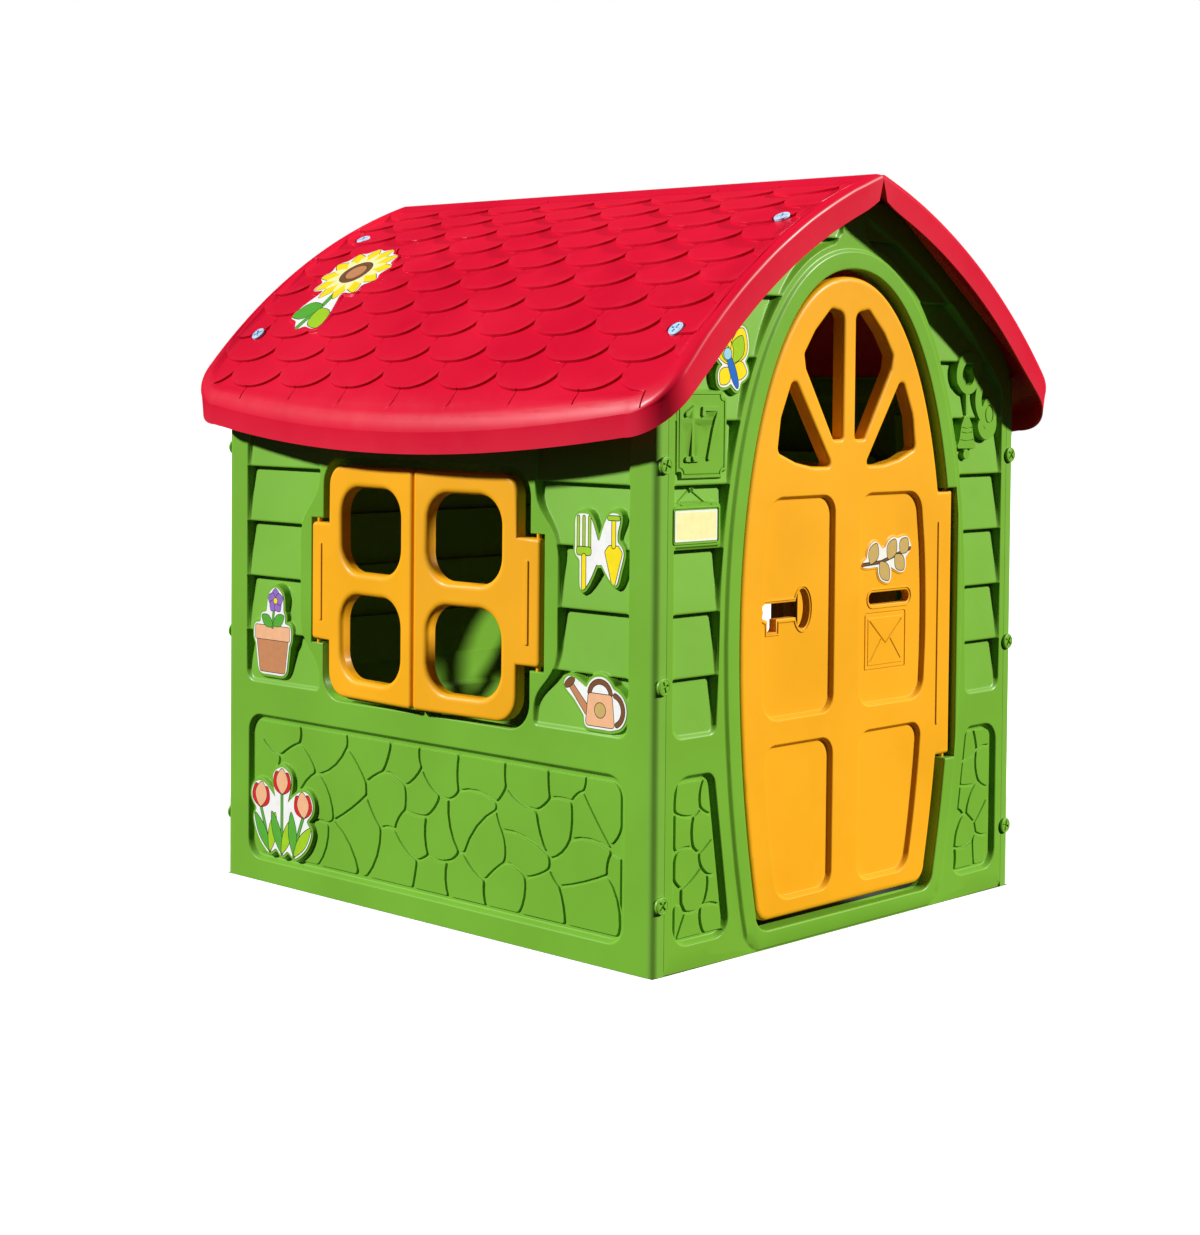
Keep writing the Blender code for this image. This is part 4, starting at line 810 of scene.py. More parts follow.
def arc_at_x(x, h):
    s = np.linspace(0.0, EAVE_ARC, 4000)
    xs, _ = roof_point(s, h)
    return float(np.interp(x, xs, s))


def gable_line(border, outer_x, inner_x, count):
    """Points beside the roof from outer_x up to inner_x at a fixed depth below it."""
    start = arc_at_x(outer_x, -border)
    end = arc_at_x(inner_x, -border)
    x, z = roof_point(np.linspace(start, end, count), -border)
    return list(zip(x.tolist(), z.tolist()))


def plank_pocket():
    """The planks right of the door, from the stones up into the gable."""
    inner = [crown_point(90.0 - 90.0 * step / 48, BAND_TO_PLANKS) for step in range(4, 47)]
    inner = [(u, v) for u, v in inner if u > PLANK_PEAK[0] + 0.006] + [PLANK_HIP]
    shape = [(PLANK_FOOT_U, PLANK_BOTTOM, 0.016), (PLANK_EDGE, PLANK_BOTTOM, POCKET_ROUND)]
    middle = gable_line(GABLE_BORDER, PLANK_EDGE, PLANK_PEAK[0] - 0.002, 26) + [PLANK_PEAK]
    return rounded_polygon(shape + [(u, v, 0.0) for u, v in middle + inner])


def back_pocket():
    right = gable_line(GABLE_BORDER, PLANK_EDGE, 0.030, 26)
    shape = [(-PLANK_EDGE, PLANK_BOTTOM, POCKET_ROUND), (PLANK_EDGE, PLANK_BOTTOM, POCKET_ROUND)]
    return rounded_polygon(shape + [(u, v, 0.0) for u, v in right + mirrored(right)])


def side_pocket():
    low, wide_low, wide_high, high = SURROUND_SHOULDERS
    edge, top = SIDE_POCKET
    return rounded_polygon([
        (SURROUND_NARROW, PLANK_BOTTOM, 0.010), (edge, PLANK_BOTTOM, POCKET_ROUND),
        (edge, top, 0.020), (SURROUND_NARROW, top, 0.020),
        (SURROUND_NARROW, high, SURROUND_BEND), (SURROUND_WIDE, wide_high, SURROUND_BEND),
        (SURROUND_WIDE, wide_low, SURROUND_BEND), (SURROUND_NARROW, low, SURROUND_BEND)])


def window_loop():
    bottom, top = WINDOW_Z
    notch_low, notch_high = WINDOW_NOTCH_Z
    stop_low, stop_high = SILL_STOP
    return rounded_polygon([
        (-WINDOW_HALF, bottom, WINDOW_BOTTOM_ROUND), (stop_low, bottom, 0.0),
        (stop_low, SILL_STOP_Z, 0.0), (stop_high, SILL_STOP_Z, 0.0), (stop_high, bottom, 0.0),
        (WINDOW_HALF, bottom, WINDOW_BOTTOM_ROUND),
        (WINDOW_HALF, notch_low, 0.0), (WINDOW_NOTCH, notch_low, 0.0),
        (WINDOW_NOTCH, notch_high, 0.0), (WINDOW_HALF, notch_high, 0.0),
        (WINDOW_HALF, top, WINDOW_TOP_ROUND), (-WINDOW_HALF, top, WINDOW_TOP_ROUND),
        (-WINDOW_HALF, notch_high, 0.0), (-WINDOW_NOTCH, notch_high, 0.0),
        (-WINDOW_NOTCH, notch_low, 0.0), (-WINDOW_HALF, notch_low, 0.0)])


# ================================================================ stones
def clip_polygon(polygon, point, normal):
    """Keep the part of a convex polygon on the far side of a line from its normal."""
    kept = []
    count = len(polygon)
    for k in range(count):
        a = polygon[k]
        b = polygon[(k + 1) % count]
        da = (a - point).dot(normal)
        db = (b - point).dot(normal)
        if da <= 0.0:
            kept.append(a)
        if (da <= 0.0) != (db <= 0.0):
            kept.append(a + (b - a) * (da / (da - db)))
    return kept


def grid_site(draw, column, row, low_u, low_v, wide, tall):
    """One stone's middle, shaken out of its place in a grid whose every other row is shifted."""
    u = low_u + (column + 0.5 + 0.5 * (row % 2) + draw.uniform(-STONE_SHAKE[0], STONE_SHAKE[0])) * wide
    v = low_v + (row + 0.5 + draw.uniform(-STONE_SHAKE[1], STONE_SHAKE[1])) * tall
    return Vector((u, v))


def stone_patches(corners, columns, rows, seed):
    """Irregular flat stones that fill a convex area, each with a soft rounded edge."""
    draw = random.Random(seed)
    area = [Vector(c) for c in corners]
    us = [corner.x for corner in area]
    vs = [corner.y for corner in area]
    low_u, low_v = min(us), min(vs)
    wide = (max(us) - low_u) / columns
    tall = (max(vs) - low_v) / rows
    sites = [grid_site(draw, column, row, low_u, low_v, wide, tall)
             for row in range(rows) for column in range(-1, columns + 1)]
    border = np.array(corners)
    patches = []
    for site in sites:
        cell = list(area)
        for other in sites:
            if other is not site and cell:
                cell = clip_polygon(cell, (site + other) / 2.0, (other - site).normalized())
        if len(cell) < 3:
            continue
        outline = np.array([(c.x, c.y) for c in cell])
        if abs(signed_area(outline)) < 0.26 * wide * tall:
            continue
        bent = bend_edges(outline, border)
        inset = offset_loop([(u, v) for u, v, _ in bent], STONE_GROOVE)
        shape = [(u, v, STONE_CORNER * draw.uniform(0.6, 1.5) if corner else 0.0)
                 for (u, v), (_, _, corner) in zip(inset, bent)]
        lift = STONE_RISE * draw.uniform(0.8, 1.15)
        patches.append(Patch(rounded_polygon(shape, 5), STONE_SLOPE, lift))
    return patches


def bend_edges(outline, border):
    """A cell's outline with every inner edge bowed, the same way for the stones on both sides."""
    ends = np.roll(outline, -1, axis=0)
    middles = (outline + ends) / 2.0
    on_border = distance_to_lines(middles, border, np.roll(border, -1, axis=0)) < 1e-5
    bent = []
    for start, end, middle, straight in zip(outline, ends, middles, on_border):
        bent.append((*start, True))
        run = end - start
        length = float(np.linalg.norm(run))
        if straight or length < 0.018:
            continue
        side = np.array([-run[1], run[0]]) / length
        if side[0] + 0.37 * side[1] < 0.0:
            side = -side
        bow = STONE_BOW * length * math.sin(91.0 * middle[0] + 67.0 * middle[1])
        for part in (0.25, 0.5, 0.75):
            bent.append((*(start + part * run + side * bow * 4.0 * part * (1.0 - part)), False))
    return bent


# ================================================================ materials
def set_sockets(node, **values):
    """Set a node's sockets by name, with an underscore for each space."""
    for name, value in values.items():
        node.inputs[name.replace("_", " ")].default_value = value


def add_node(tree, kind, feeds=(), **values):
    """A new node with some sockets set, and others fed by (socket, node, output)."""
    node = tree.nodes.new("ShaderNode" + kind)
    set_sockets(node, **values)
    for socket, source, output in feeds:
        tree.links.new(source.outputs[output], node.inputs[socket])
    return node


def new_material(name):
    material = bpy.data.materials.new(name)
    material.use_nodes = True
    tree = material.node_tree
    return material, tree, tree.nodes["Principled BSDF"]


def noise(tree, place, scale, detail, roughness=0.5):
    return add_node(tree, "TexNoise", [("Vector", place, "Object")], Scale=scale, Detail=detail,
                    Roughness=roughness)


def two_tones(tree, source, ends):
    """Colours between two (position, colour) ends, spread by a noise."""
    node = add_node(tree, "ValToRGB", [("Fac", source, "Fac")])
    for element, (position, colour) in zip(node.color_ramp.elements, ends):
        element.position = position
        element.color = (*colour, 1.0)
    return node


def by_shape(tree, low, high, most):
    """From 0 to most as the surface's pointiness goes from low to high."""
    shape = add_node(tree, "NewGeometry")
    return add_node(tree, "MapRange", [("Value", shape, "Pointiness")], From_Min=low, From_Max=high,
                    To_Min=0.0, To_Max=most)


def tinted(tree, base, output, colour, amount):
    """Mix a plain colour into a node's colour, by the amount that another node gives."""
    node = tree.nodes.new("ShaderNodeMix")
    node.data_type = "RGBA"
    node.inputs["B"].default_value = (*colour, 1.0)
    tree.links.new(amount.outputs["Result"], node.inputs["Factor"])
    tree.links.new(base.outputs[output], node.inputs["A"])
    return node


def plastic(name, colour, roughness=0.40, wear_and_highlight=0.10, shine=0.30):
    """Moulded plastic: fine grain, flow mottling, paler edges that are partly wear and partly painted
    highlight, and painted shade that darkens the creases.
    """
    material, tree, shader = new_material(name)
    set_sockets(shader, IOR=PLASTIC_IOR, Specular_IOR_Level=shine, Coat_Weight=0.04, Coat_Roughness=0.18)
    place = add_node(tree, "TexCoord")
    dark = [c * (1.0 - MOTTLING) for c in colour]
    light = [min(c * (1.0 + MOTTLING) + 0.004, 1.0) for c in colour]
    flow = two_tones(tree, noise(tree, place, 5.0, 3.0, 0.45), ((0.32, dark), (0.68, light)))
    # paler convex edges: partly wear, partly a painted highlight
    pale = [min(c * 0.8 + 0.14, 1.0) for c in colour]
    worn_and_lit = tinted(tree, flow, "Color", pale, by_shape(tree, *EDGE_POINTINESS, wear_and_highlight))
    # painted shade: concave creases are darkened in colour by the surface's pointiness
    crease_shade_tone = [c * 0.15 for c in colour]
    crease_shaded = tinted(tree, worn_and_lit, "Result", crease_shade_tone, by_shape(tree, *CREASE_POINTINESS, CREASE_SHADE))
    gloss = add_node(tree, "MapRange", [("Value", noise(tree, place, 28.0, 4.0), "Fac")],
                     To_Min=roughness - 0.05, To_Max=roughness + 0.06)
    fine = add_node(tree, "Bump", [("Height", noise(tree, place, 620.0, 2.0), "Fac")],
                    Strength=0.35, Distance=GRAIN_DEPTH)
    broad = add_node(tree, "Bump", [("Height", noise(tree, place, 16.0, 1.0), "Fac"),
                                    ("Normal", fine, "Normal")], Strength=0.25, Distance=RIPPLE_DEPTH)
    tree.links.new(crease_shaded.outputs["Result"], shader.inputs["Base Color"])
    tree.links.new(gloss.outputs["Result"], shader.inputs["Roughness"])
    tree.links.new(broad.outputs["Normal"], shader.inputs["Normal"])
    return material


def printed_ink(name, colour):
    """Glossy printed film: flat colour with a faint print dot and a smooth clear face."""
    material, tree, shader = new_material("ink_" + name)
    set_sockets(shader, Roughness=0.30, Coat_Weight=0.25, Coat_Roughness=0.12)
    dots = noise(tree, add_node(tree, "TexCoord"), 90.0, 3.0)
    light = [min(c * 1.04, 1.0) for c in colour]
    print_tone = two_tones(tree, dots, ((0.3, [c * 0.94 for c in colour]), (0.7, light)))
    tree.links.new(print_tone.outputs["Color"], shader.inputs["Base Color"])
    return material


# ================================================================ object helpers
def new_piece(name, vertices, faces, materials, replaces, body="house", indices=None, sharp=32.0):
    """A finished object that stands for a CAD node and rides with a body."""
    mesh = bpy.data.meshes.new(name)
    mesh.from_pydata([tuple(float(c) for c in v) for v in vertices], [],
                     [tuple(int(i) for i in f) for f in faces])
    for material in materials:
        mesh.materials.append(material)
    if indices is not None:
        for polygon, index in zip(mesh.polygons, indices):
            polygon.material_index = index
    cleaner = bmesh.new()
    cleaner.from_mesh(mesh)
    bmesh.ops.remove_doubles(cleaner, verts=cleaner.verts, dist=2e-6)
    bmesh.ops.dissolve_degenerate(cleaner, edges=cleaner.edges, dist=1e-7)
    if indices is None:
        bmesh.ops.recalc_face_normals(cleaner, faces=cleaner.faces)
    cleaner.to_mesh(mesh)
    cleaner.free()
    mesh.shade_smooth()
    mesh.set_sharp_from_angle(angle=math.radians(sharp))
    piece = bpy.data.objects.new(name, mesh)
    bpy.context.scene.collection.objects.link(piece)
    weigh = piece.modifiers.new("even_shading", "WEIGHTED_NORMAL")
    weigh.keep_sharp = True
    weigh.weight = 60
    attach(piece, body)
    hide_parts(replaces)
    return piece


def rod_mesh(start, end, radius, count=32, dome=0.001):
    """A closed cylinder between two points with softly rounded rims."""
    a = Vector(start)
    b = Vector(end)
    axis = (b - a).normalized()
    side = axis.orthogonal().normalized()
    up = axis.cross(side)
    stations = [(a, radius - dome), (a + axis * dome, radius)]
    stations += [(b - axis * dome, radius), (b, radius - dome)]
    vertices = []
    for centre, reach in stations:
        for k in range(count):
            turn = 2.0 * math.pi * k / count
            vertices.append(centre + reach * (math.cos(turn) * side + math.sin(turn) * up))
    faces = [tuple(range(count))[::-1], tuple(range(3 * count, 4 * count))]
    for ring in range(3):
        for k in range(count):
            n = (k + 1) % count
            low = ring * count
            faces.append((low + k, low + n, low + count + n, low + count + k))
    return vertices, faces


def hinge_pins(x, y, low, high):
    """The two short pins at the ends of a hinge block."""
    return [rod_mesh((x, y, low - PIN_REACH), (x, y, low + SKIN), PIN_RADIUS),
            rod_mesh((x, y, high - SKIN), (x, y, high + PIN_REACH), PIN_RADIUS)]


def band_faces(first, second):
    """Faces between two rings of vertex numbers that run side by side."""
    count = len(first)
    return [(first[(k + 1) % count], first[k], second[k], second[(k + 1) % count]) for k in range(count)]


def join_parts(parts):
    """One vertex and face list from several."""
    vertices = []
    faces = []
    for part_vertices, part_faces in parts:
        base = len(vertices)
        vertices += [tuple(v) for v in part_vertices]
        faces += [tuple(base + int(i) for i in f) for f in part_faces]
    return vertices, faces


# ================================================================ where flat layouts go
def front_place(points, height):
    return np.stack([points[:, 0], -HALF_DEPTH - np.asarray(height), points[:, 1]], axis=1)


def back_place(points, height):
    return np.stack([-points[:, 0], HALF_DEPTH + np.asarray(height), points[:, 1]], axis=1)


def left_place(points, height):
    return np.stack([-HALF_WIDTH - np.asarray(height), -points[:, 0], points[:, 1]], axis=1)


def right_place(points, height):
    return np.stack([HALF_WIDTH + np.asarray(height), points[:, 0], points[:, 1]], axis=1)


def roof_place(turn):
    def place(points, height):
        x, z = roof_point(points[:, 0], height)
        return np.stack([turn * x, turn * points[:, 1], z], axis=1)
    return place


# ================================================================ sticker artwork
def petal(cu, cv, length, width, angle, count=20):
    """A pointed oval that starts at (cu, cv) and runs out at an angle."""
    a = math.radians(angle)
    loop = []
    for k in range(count):
        t = 2.0 * math.pi * k / count
        along = length * (0.5 - 0.5 * math.cos(t))
        across = width * math.sin(t) * (0.55 + 0.45 * math.sin(math.pi * min(along / length, 1.0)))
        loop.append((cu + along * math.cos(a) + across * math.sin(a),
                     cv + along * math.sin(a) - across * math.cos(a)))
    return loop


def stem(path, width):
    """A thin closed strip along a path."""
    return capsule(path, width)[:-1]


def bloom(cu, cv, count, length, width, start=90.0):
    return [petal(cu, cv, length, width, start + 360.0 * k / count) for k in range(count)]


def inked(ink, *loops):
    """Shapes that are printed in one colour."""
    return [(loop, ink) for loop in loops]


def flowerpot_art():
    pot = [(-0.034, -0.058), (0.034, -0.058), (0.043, 0.000), (-0.043, 0.000)]
    art = inked("terracotta", rounded_polygon([(u, v, 0.004) for u, v in pot], 4))
    art += inked("skin", box_loop(-0.047, -0.002, 0.047, 0.022, 0.003, 3))
    art += inked("leaf", stem([(0.0, 0.020), (0.002, 0.040), (0.006, 0.060)], 0.0022),
                 petal(0.0, 0.022, 0.034, 0.010, 150), petal(0.002, 0.024, 0.034, 0.010, 30))
    art += inked("violet", *bloom(0.008, 0.066, 5, 0.021, 0.010))
    return art + inked("yellow", disc(0.008, 0.066, 0.005, 16))


def tulip_art():
    art = []
    for cu, top, lean in ((-0.050, 0.010, -6.0), (0.000, 0.034, 0.0), (0.050, 0.006, 8.0)):
        base = (cu * 0.55, -0.056)
        art += inked("leaf", stem([base, ((base[0] + cu) / 2.0, -0.020), (cu, top)], 0.0022),
                     petal(*base, 0.062, 0.009, 112.0 - lean * 2.0))
        art += inked("lime", petal(*base, 0.058, 0.009, 66.0 - lean * 2.0))
        for turn, ink in ((-24.0, "red"), (24.0, "red"), (0.0, "skin")):
            length = 0.036 - abs(turn) * 0.0001
            art += inked(ink, petal(cu, top - 0.004, length, 0.013, 90.0 + turn + lean))
    return art


def watering_can_art():
    body = rounded_polygon([(-0.020, -0.030, 0.005), (0.034, -0.030, 0.005),
                            (0.029, 0.014, 0.005), (-0.015, 0.014, 0.005)], 4)
    spout = rounded_polygon([(-0.018, -0.018, 0.002), (-0.052, 0.020, 0.002),
                             (-0.047, 0.026, 0.002), (-0.016, -0.004, 0.002)], 3)
    rose = ellipse_loop(-0.051, 0.025, 0.011, 0.005, 20, math.radians(35.0))
    handle = [(0.030 + 0.020 * math.sin(a), -0.006 + 0.021 * math.cos(a))
              for a in np.linspace(0.25, 2.7, 12)]
    bow = [(0.007 - 0.020 * math.cos(a), 0.013 + 0.018 * math.sin(a)) for a in np.linspace(0.1, 3.0, 12)]
    art = inked("brown", stem(handle, 0.0030), stem(bow, 0.0030))
    art += inked("terracotta", spout) + inked("skin", body) + inked("brown", rose)
    return art + inked("tan", disc(0.007, -0.008, 0.010, 24))


def tools_art():
    tines = [stem([(u, 0.004), (u, 0.044)], 0.0018) for u in (-0.026 - 0.010, -0.026, -0.026 + 0.010)]
    art = inked("lime", *tines, box_loop(-0.0385, -0.004, -0.0135, 0.006, 0.003, 3))
    blade = rounded_polygon([(0.011, 0.002, 0.004), (0.026, -0.046, 0.003), (0.041, 0.002, 0.004),
                             (0.034, 0.010, 0.004), (0.018, 0.010, 0.004)], 4)
    art += inked("yellow", stem([(-0.026, -0.006), (-0.026, -0.046)], 0.0034), blade,
                 stem([(0.026, 0.010), (0.026, 0.042)], 0.0030))
    return art + inked("lime", stem([(0.018, 0.045), (0.034, 0.045)], 0.0026))


def butterfly_art():
    art = []
    for wing, spot in (((0.000, 0.000, 0.056, 0.022, 62), (0.004, 0.002, 0.042, 0.014, 62)),
                       ((0.000, 0.000, 0.044, 0.016, 122), (-0.002, 0.002, 0.032, 0.009, 122))):
        art += inked("yellow", petal(*wing)) + inked("lime", petal(*spot))
    art += inked("yellow", petal(0.004, -0.006, 0.030, 0.013, -12), petal(-0.004, -0.006, 0.028, 0.012, -128))
    art += inked("ink", stem([(-0.003, 0.014), (0.002, 0.034), (0.012, 0.046)], 0.0007),
                 stem([(-0.008, 0.012), (-0.018, 0.030), (-0.018, 0.044)], 0.0007))
    art += inked("blue", ellipse_loop(0.004, -0.010, 0.0065, 0.026, 28, math.radians(24.0)))
    return art + inked("sky", disc(-0.007, 0.014, 0.008, 24))


def leaf_art():
    twig = stem([(-0.052, -0.006), (-0.010, -0.004), (0.030, 0.006), (0.056, 0.012)], 0.0016)
    leaves = ((-0.034, -0.005, 0.030, 62), (-0.012, -0.004, 0.032, -52), (0.006, 0.000, 0.030, 58),
              (0.022, 0.004, 0.028, -46), (0.034, 0.007, 0.024, 50))
    art = inked("brown", twig)
    for u, v, length, turn in leaves:
        art += inked("tan", petal(u, v, length, 0.011, turn))
    return art


def sunflower_art():
    middle = (-0.022, 0.018)
    art = inked("leaf", stem([(0.006, 0.010), (0.052, -0.014), (0.092, -0.050)], 0.0040),
                petal(0.052, -0.014, 0.052, 0.018, -92))
    art += inked("lime", petal(0.058, -0.016, 0.050, 0.018, 12))
    art += inked("yellow", *bloom(*middle, 12, 0.066, 0.0135, 15.0))
    art += inked("cream", *bloom(*middle, 12, 0.050, 0.0080, 0.0))
    return art + inked("brown", disc(*middle, 0.026, 36)) + inked("terracotta", disc(*middle, 0.017, 30))


def label_art():
    return inked("cream", box_loop(-0.0445, -0.0200, 0.0445, 0.0200, 0.0015, 3))


def die_cut(art, margin, count=120):
    """The outline that keeps a margin round all the artwork, read outwards along rays."""
    starts = []
    ends = []
    for loop, _ in art:
        points = np.array(loop)
        starts.append(points)
        ends.append(np.roll(points, -1, axis=0))
    starts = np.concatenate(starts)
    ends = np.concatenate(ends)
    angles = 2.0 * math.pi * np.arange(count) / count
    radii = np.linspace(0.002, np.linalg.norm(starts, axis=1).max() + margin, 90)
    rays = np.stack([np.outer(np.cos(angles), radii), np.outer(np.sin(angles), radii)], axis=2)
    near = distance_to_lines(rays.reshape(-1, 2), starts, ends) <= margin
    reach = (near.reshape(count, -1) * radii).max(axis=1)
    reach = np.maximum(reach, 0.25 * reach.max())
    for _ in range(4):
        reach = 0.25 * np.roll(reach, 1) + 0.5 * reach + 0.25 * np.roll(reach, -1)
    return [(float(r * math.cos(a)), float(r * math.sin(a))) for r, a in zip(reach, angles)]


def moved(loop, cu, cv, turn=0.0, scale=1.0):
    c = scale * math.cos(turn)
    s = scale * math.sin(turn)
    return [(cu + u * c - v * s, cv + u * s + v * c) for u, v in loop]


# name: (artwork, centre u, centre v, turn, scale)
SIDE_STICKERS = {
    "flowerpot": (flowerpot_art, -0.3840, 0.4250, 0.0, 1.0),
    "tulips": (tulip_art, -0.3560, 0.1235, 0.0, 1.20),
    "watering_can": (watering_can_art, 0.3930, 0.3930, 0.0, 1.10),
    "tools": (tools_art, 0.3950, 0.6190, 0.0, 1.18),
}
BUTTERFLY = (butterfly_art, -0.2990, 0.9020, 0.0, 1.08)
LABEL_BOX = (-0.4205, 0.6390, -0.3265, 0.6850)
DOOR_LEAF = (leaf_art, 0.1080, 0.5880, 0.0, 1.20)
ROOF_FLOWER = (sunflower_art, 0.3450, -0.3930, math.radians(25.0), 1.25)


def sticker_outline(entry):
    art, cu, cv, turn, scale = entry
    return moved(die_cut(art(), DIE_CUT_MARGIN / scale), cu, cv, turn, scale)


def sticker_pad(entry, height=0.0):
    """The flat pad that a sticker lies on."""
    return raised(offset_loop(sticker_outline(entry), -STICKER_BOSS), BOSS_SLOPE, height)


def roof_bends(loop):
    """Lines across a sticker that let it follow the curve of the roof."""
    turned = [(v, u) for u, v in loop]
    us = [u for u, _ in loop]
    lines = []
    for s in np.arange(0.20, 0.50, 0.012):
        if min(us) + 0.001 < s < max(us) - 0.001:
            lines += [[(s, a + 2e-4), (s, b - 2e-4)] for a, b in spans(turned, s) if b - a > 0.002]
    return lines


def build_sticker(name, node, entry, surface, place, inks, body="house", bend=None, plate=None):
    """One white die-cut film whose face is divided into the printed colours."""
    art, cu, cv, turn, scale = entry
    drawing = []
    for loop, ink in art():
        if signed_area(np.array(loop)) < 0.0:
            loop = loop[::-1]
        if ink not in ("ink", "cream"):
            drawing.append((moved(offset_loop(loop, -INK_LINE), cu, cv, turn, scale), "ink"))
        drawing.append((moved(loop, cu, cv, turn, scale), ink))
    outline = plate or sticker_outline(entry)
    lines = [closed(loop) for loop, _ in drawing]
    if bend:
        lines += bend(outline)
    layout, triangles = triangulate([outline], lines)
    names = ["white"] + sorted({ink for _, ink in drawing} - {"white"})
    centres = layout[triangles].mean(axis=1)
    colour = np.zeros(len(triangles), dtype=int)
    for loop, ink in drawing:
        colour[inside(centres, loop)] = names.index(ink)
    count = len(layout)
    top = place(layout, np.full(count, surface + GAP + STICKER_THICKNESS))
    low = place(layout, np.full(count, surface + GAP))
    faces = [tuple(t) for t in triangles]
    faces += [tuple(count + i for i in t[::-1]) for t in triangles]
    chain = border_chains(triangles)[0]
    faces += band_faces(chain, [count + k for k in chain])
    indices = list(colour) + [0] * (len(faces) - len(colour))
    materials = [inks[ink] for ink in names]
    return new_piece(name, np.concatenate([top, low]), faces, materials, node, body,
                     indices, 50.0)


# ================================================================ walls
def gable_outline():
    top = gable_line(ROOF_CLEARANCE, LIP_EDGE, 0.075, 40)
    top = [p for p in top if p[1] < GABLE_FLAT_Z]
    last_x = float(np.interp(GABLE_FLAT_Z, [top[-1][1], RIDGE_Z], [top[-1][0], 0.0]))
    top.append((last_x, GABLE_FLAT_Z))
    inner = RETURN_EDGE - GAP
    right = [(inner, 0.0), (inner, FOOT_RISE), (LIP_EDGE, FOOT_RISE)] + top
    return right + mirrored(right)


def lip_drop(points):
    past = np.abs(points[:, 0]) - (RETURN_EDGE - GAP - LIP_STEP)
    return -(SKIN + GAP) * np.clip(past / LIP_STEP, 0.0, 1.0)


def lip_lines():
    lines = []
    for edge in (RETURN_EDGE - GAP - LIP_STEP, RETURN_EDGE - GAP):
        for side in (-1.0, 1.0):
            lines.append([(side * edge, FOOT_RISE + 0.001), (side * edge, LIP_TOP)])
    return lines


def broad_features(features):
    """The features wide enough to show on a wall's inner face."""
    return [feature for feature in features if feature.slope > FINE_SLOPE]


def gable_wall(name, node, place, holes, features, band, material):
    """The front or back wall, whose sides slip behind the corners of the window walls."""
    arch = arch_loop(0.0)

    def raised_band(points):
        if not band:
            return 0.0
        away = -depth_inside(points, arch, 0.08)
        return BAND_HEIGHT * ramp((BAND_WIDTH - away) / BAND_SLOPE)

    def outer(points):
        height = relief_height(points, features) + lip_drop(points) + raised_band(points)
        for hole in holes:
            height += eased(-depth_inside(points, hole), OPENING_ROUND)
        return height

    def inner(points):
        return relief_height(points, features) + lip_drop(points) + raised_band(points) - SKIN

    def edge_depth(points):
        depth = np.full(len(points), WALL_FLANGE)
        depth[points[:, 1] > TOP_FLANGE_Z] = TOP_FLANGE
        for hole in holes:
            near = np.abs(depth_inside(points, hole)) < 2.0 * SKIN
            depth[near] = OPENING_FLANGE
        return -depth

    outer_lines = relief_lines(features, True) + lip_lines()
    inner_lines = relief_lines(broad_features(features), False) + lip_lines()
    if band:
        for part in (0.0, 0.15, 0.35, 0.65, 0.85, 1.0):
            ring = closed(arch_loop(BAND_WIDTH - part * BAND_SLOPE))
            outer_lines.append(ring)
            if part in (0.0, 1.0):
                inner_lines.append(ring)
    for hole in holes:
        outer_lines += easing_rings(hole, OPENING_ROUND, outward=True)
    outline = gable_outline()
    loose = loose_grid((-HALF_WIDTH, 0.0), (HALF_WIDTH, RIDGE_Z), WALL_GRID, outline, GUARD)
    skin = Skin(outline, holes, outer, inner, edge_depth, place)
    vertices, faces = skin.mesh(outer_lines, inner_lines, loose)
    return new_piece(name, vertices, faces, [material], node)


def stop_lip(place):
    """The narrow stop behind the tops of closed shutters, round the top of the window."""
    bite, reach = STOP_LIP_REACH
    window = window_loop()
    top = [k for k, point in enumerate(window) if point[1] > STOP_LIP_LOW]
    rim = np.array(offset_loop(window, bite))[top]
    edge = np.array(offset_loop(window, reach))[top]
    layout = np.concatenate([rim, edge[::-1]])
    count = len(layout)
    near, far = STOP_LIP_DEPTH
    vertices = np.concatenate([place(layout, np.full(count, -near)), place(layout, np.full(count, -far))])
    faces = band_faces(range(count), range(count, 2 * count))
    for k in range(len(top) - 1):
        across = count - 1 - k
        faces.append((k, k + 1, across - 1, across))
        faces.append((count + k + 1, count + k, count + across, count + across - 1))
    return vertices, faces


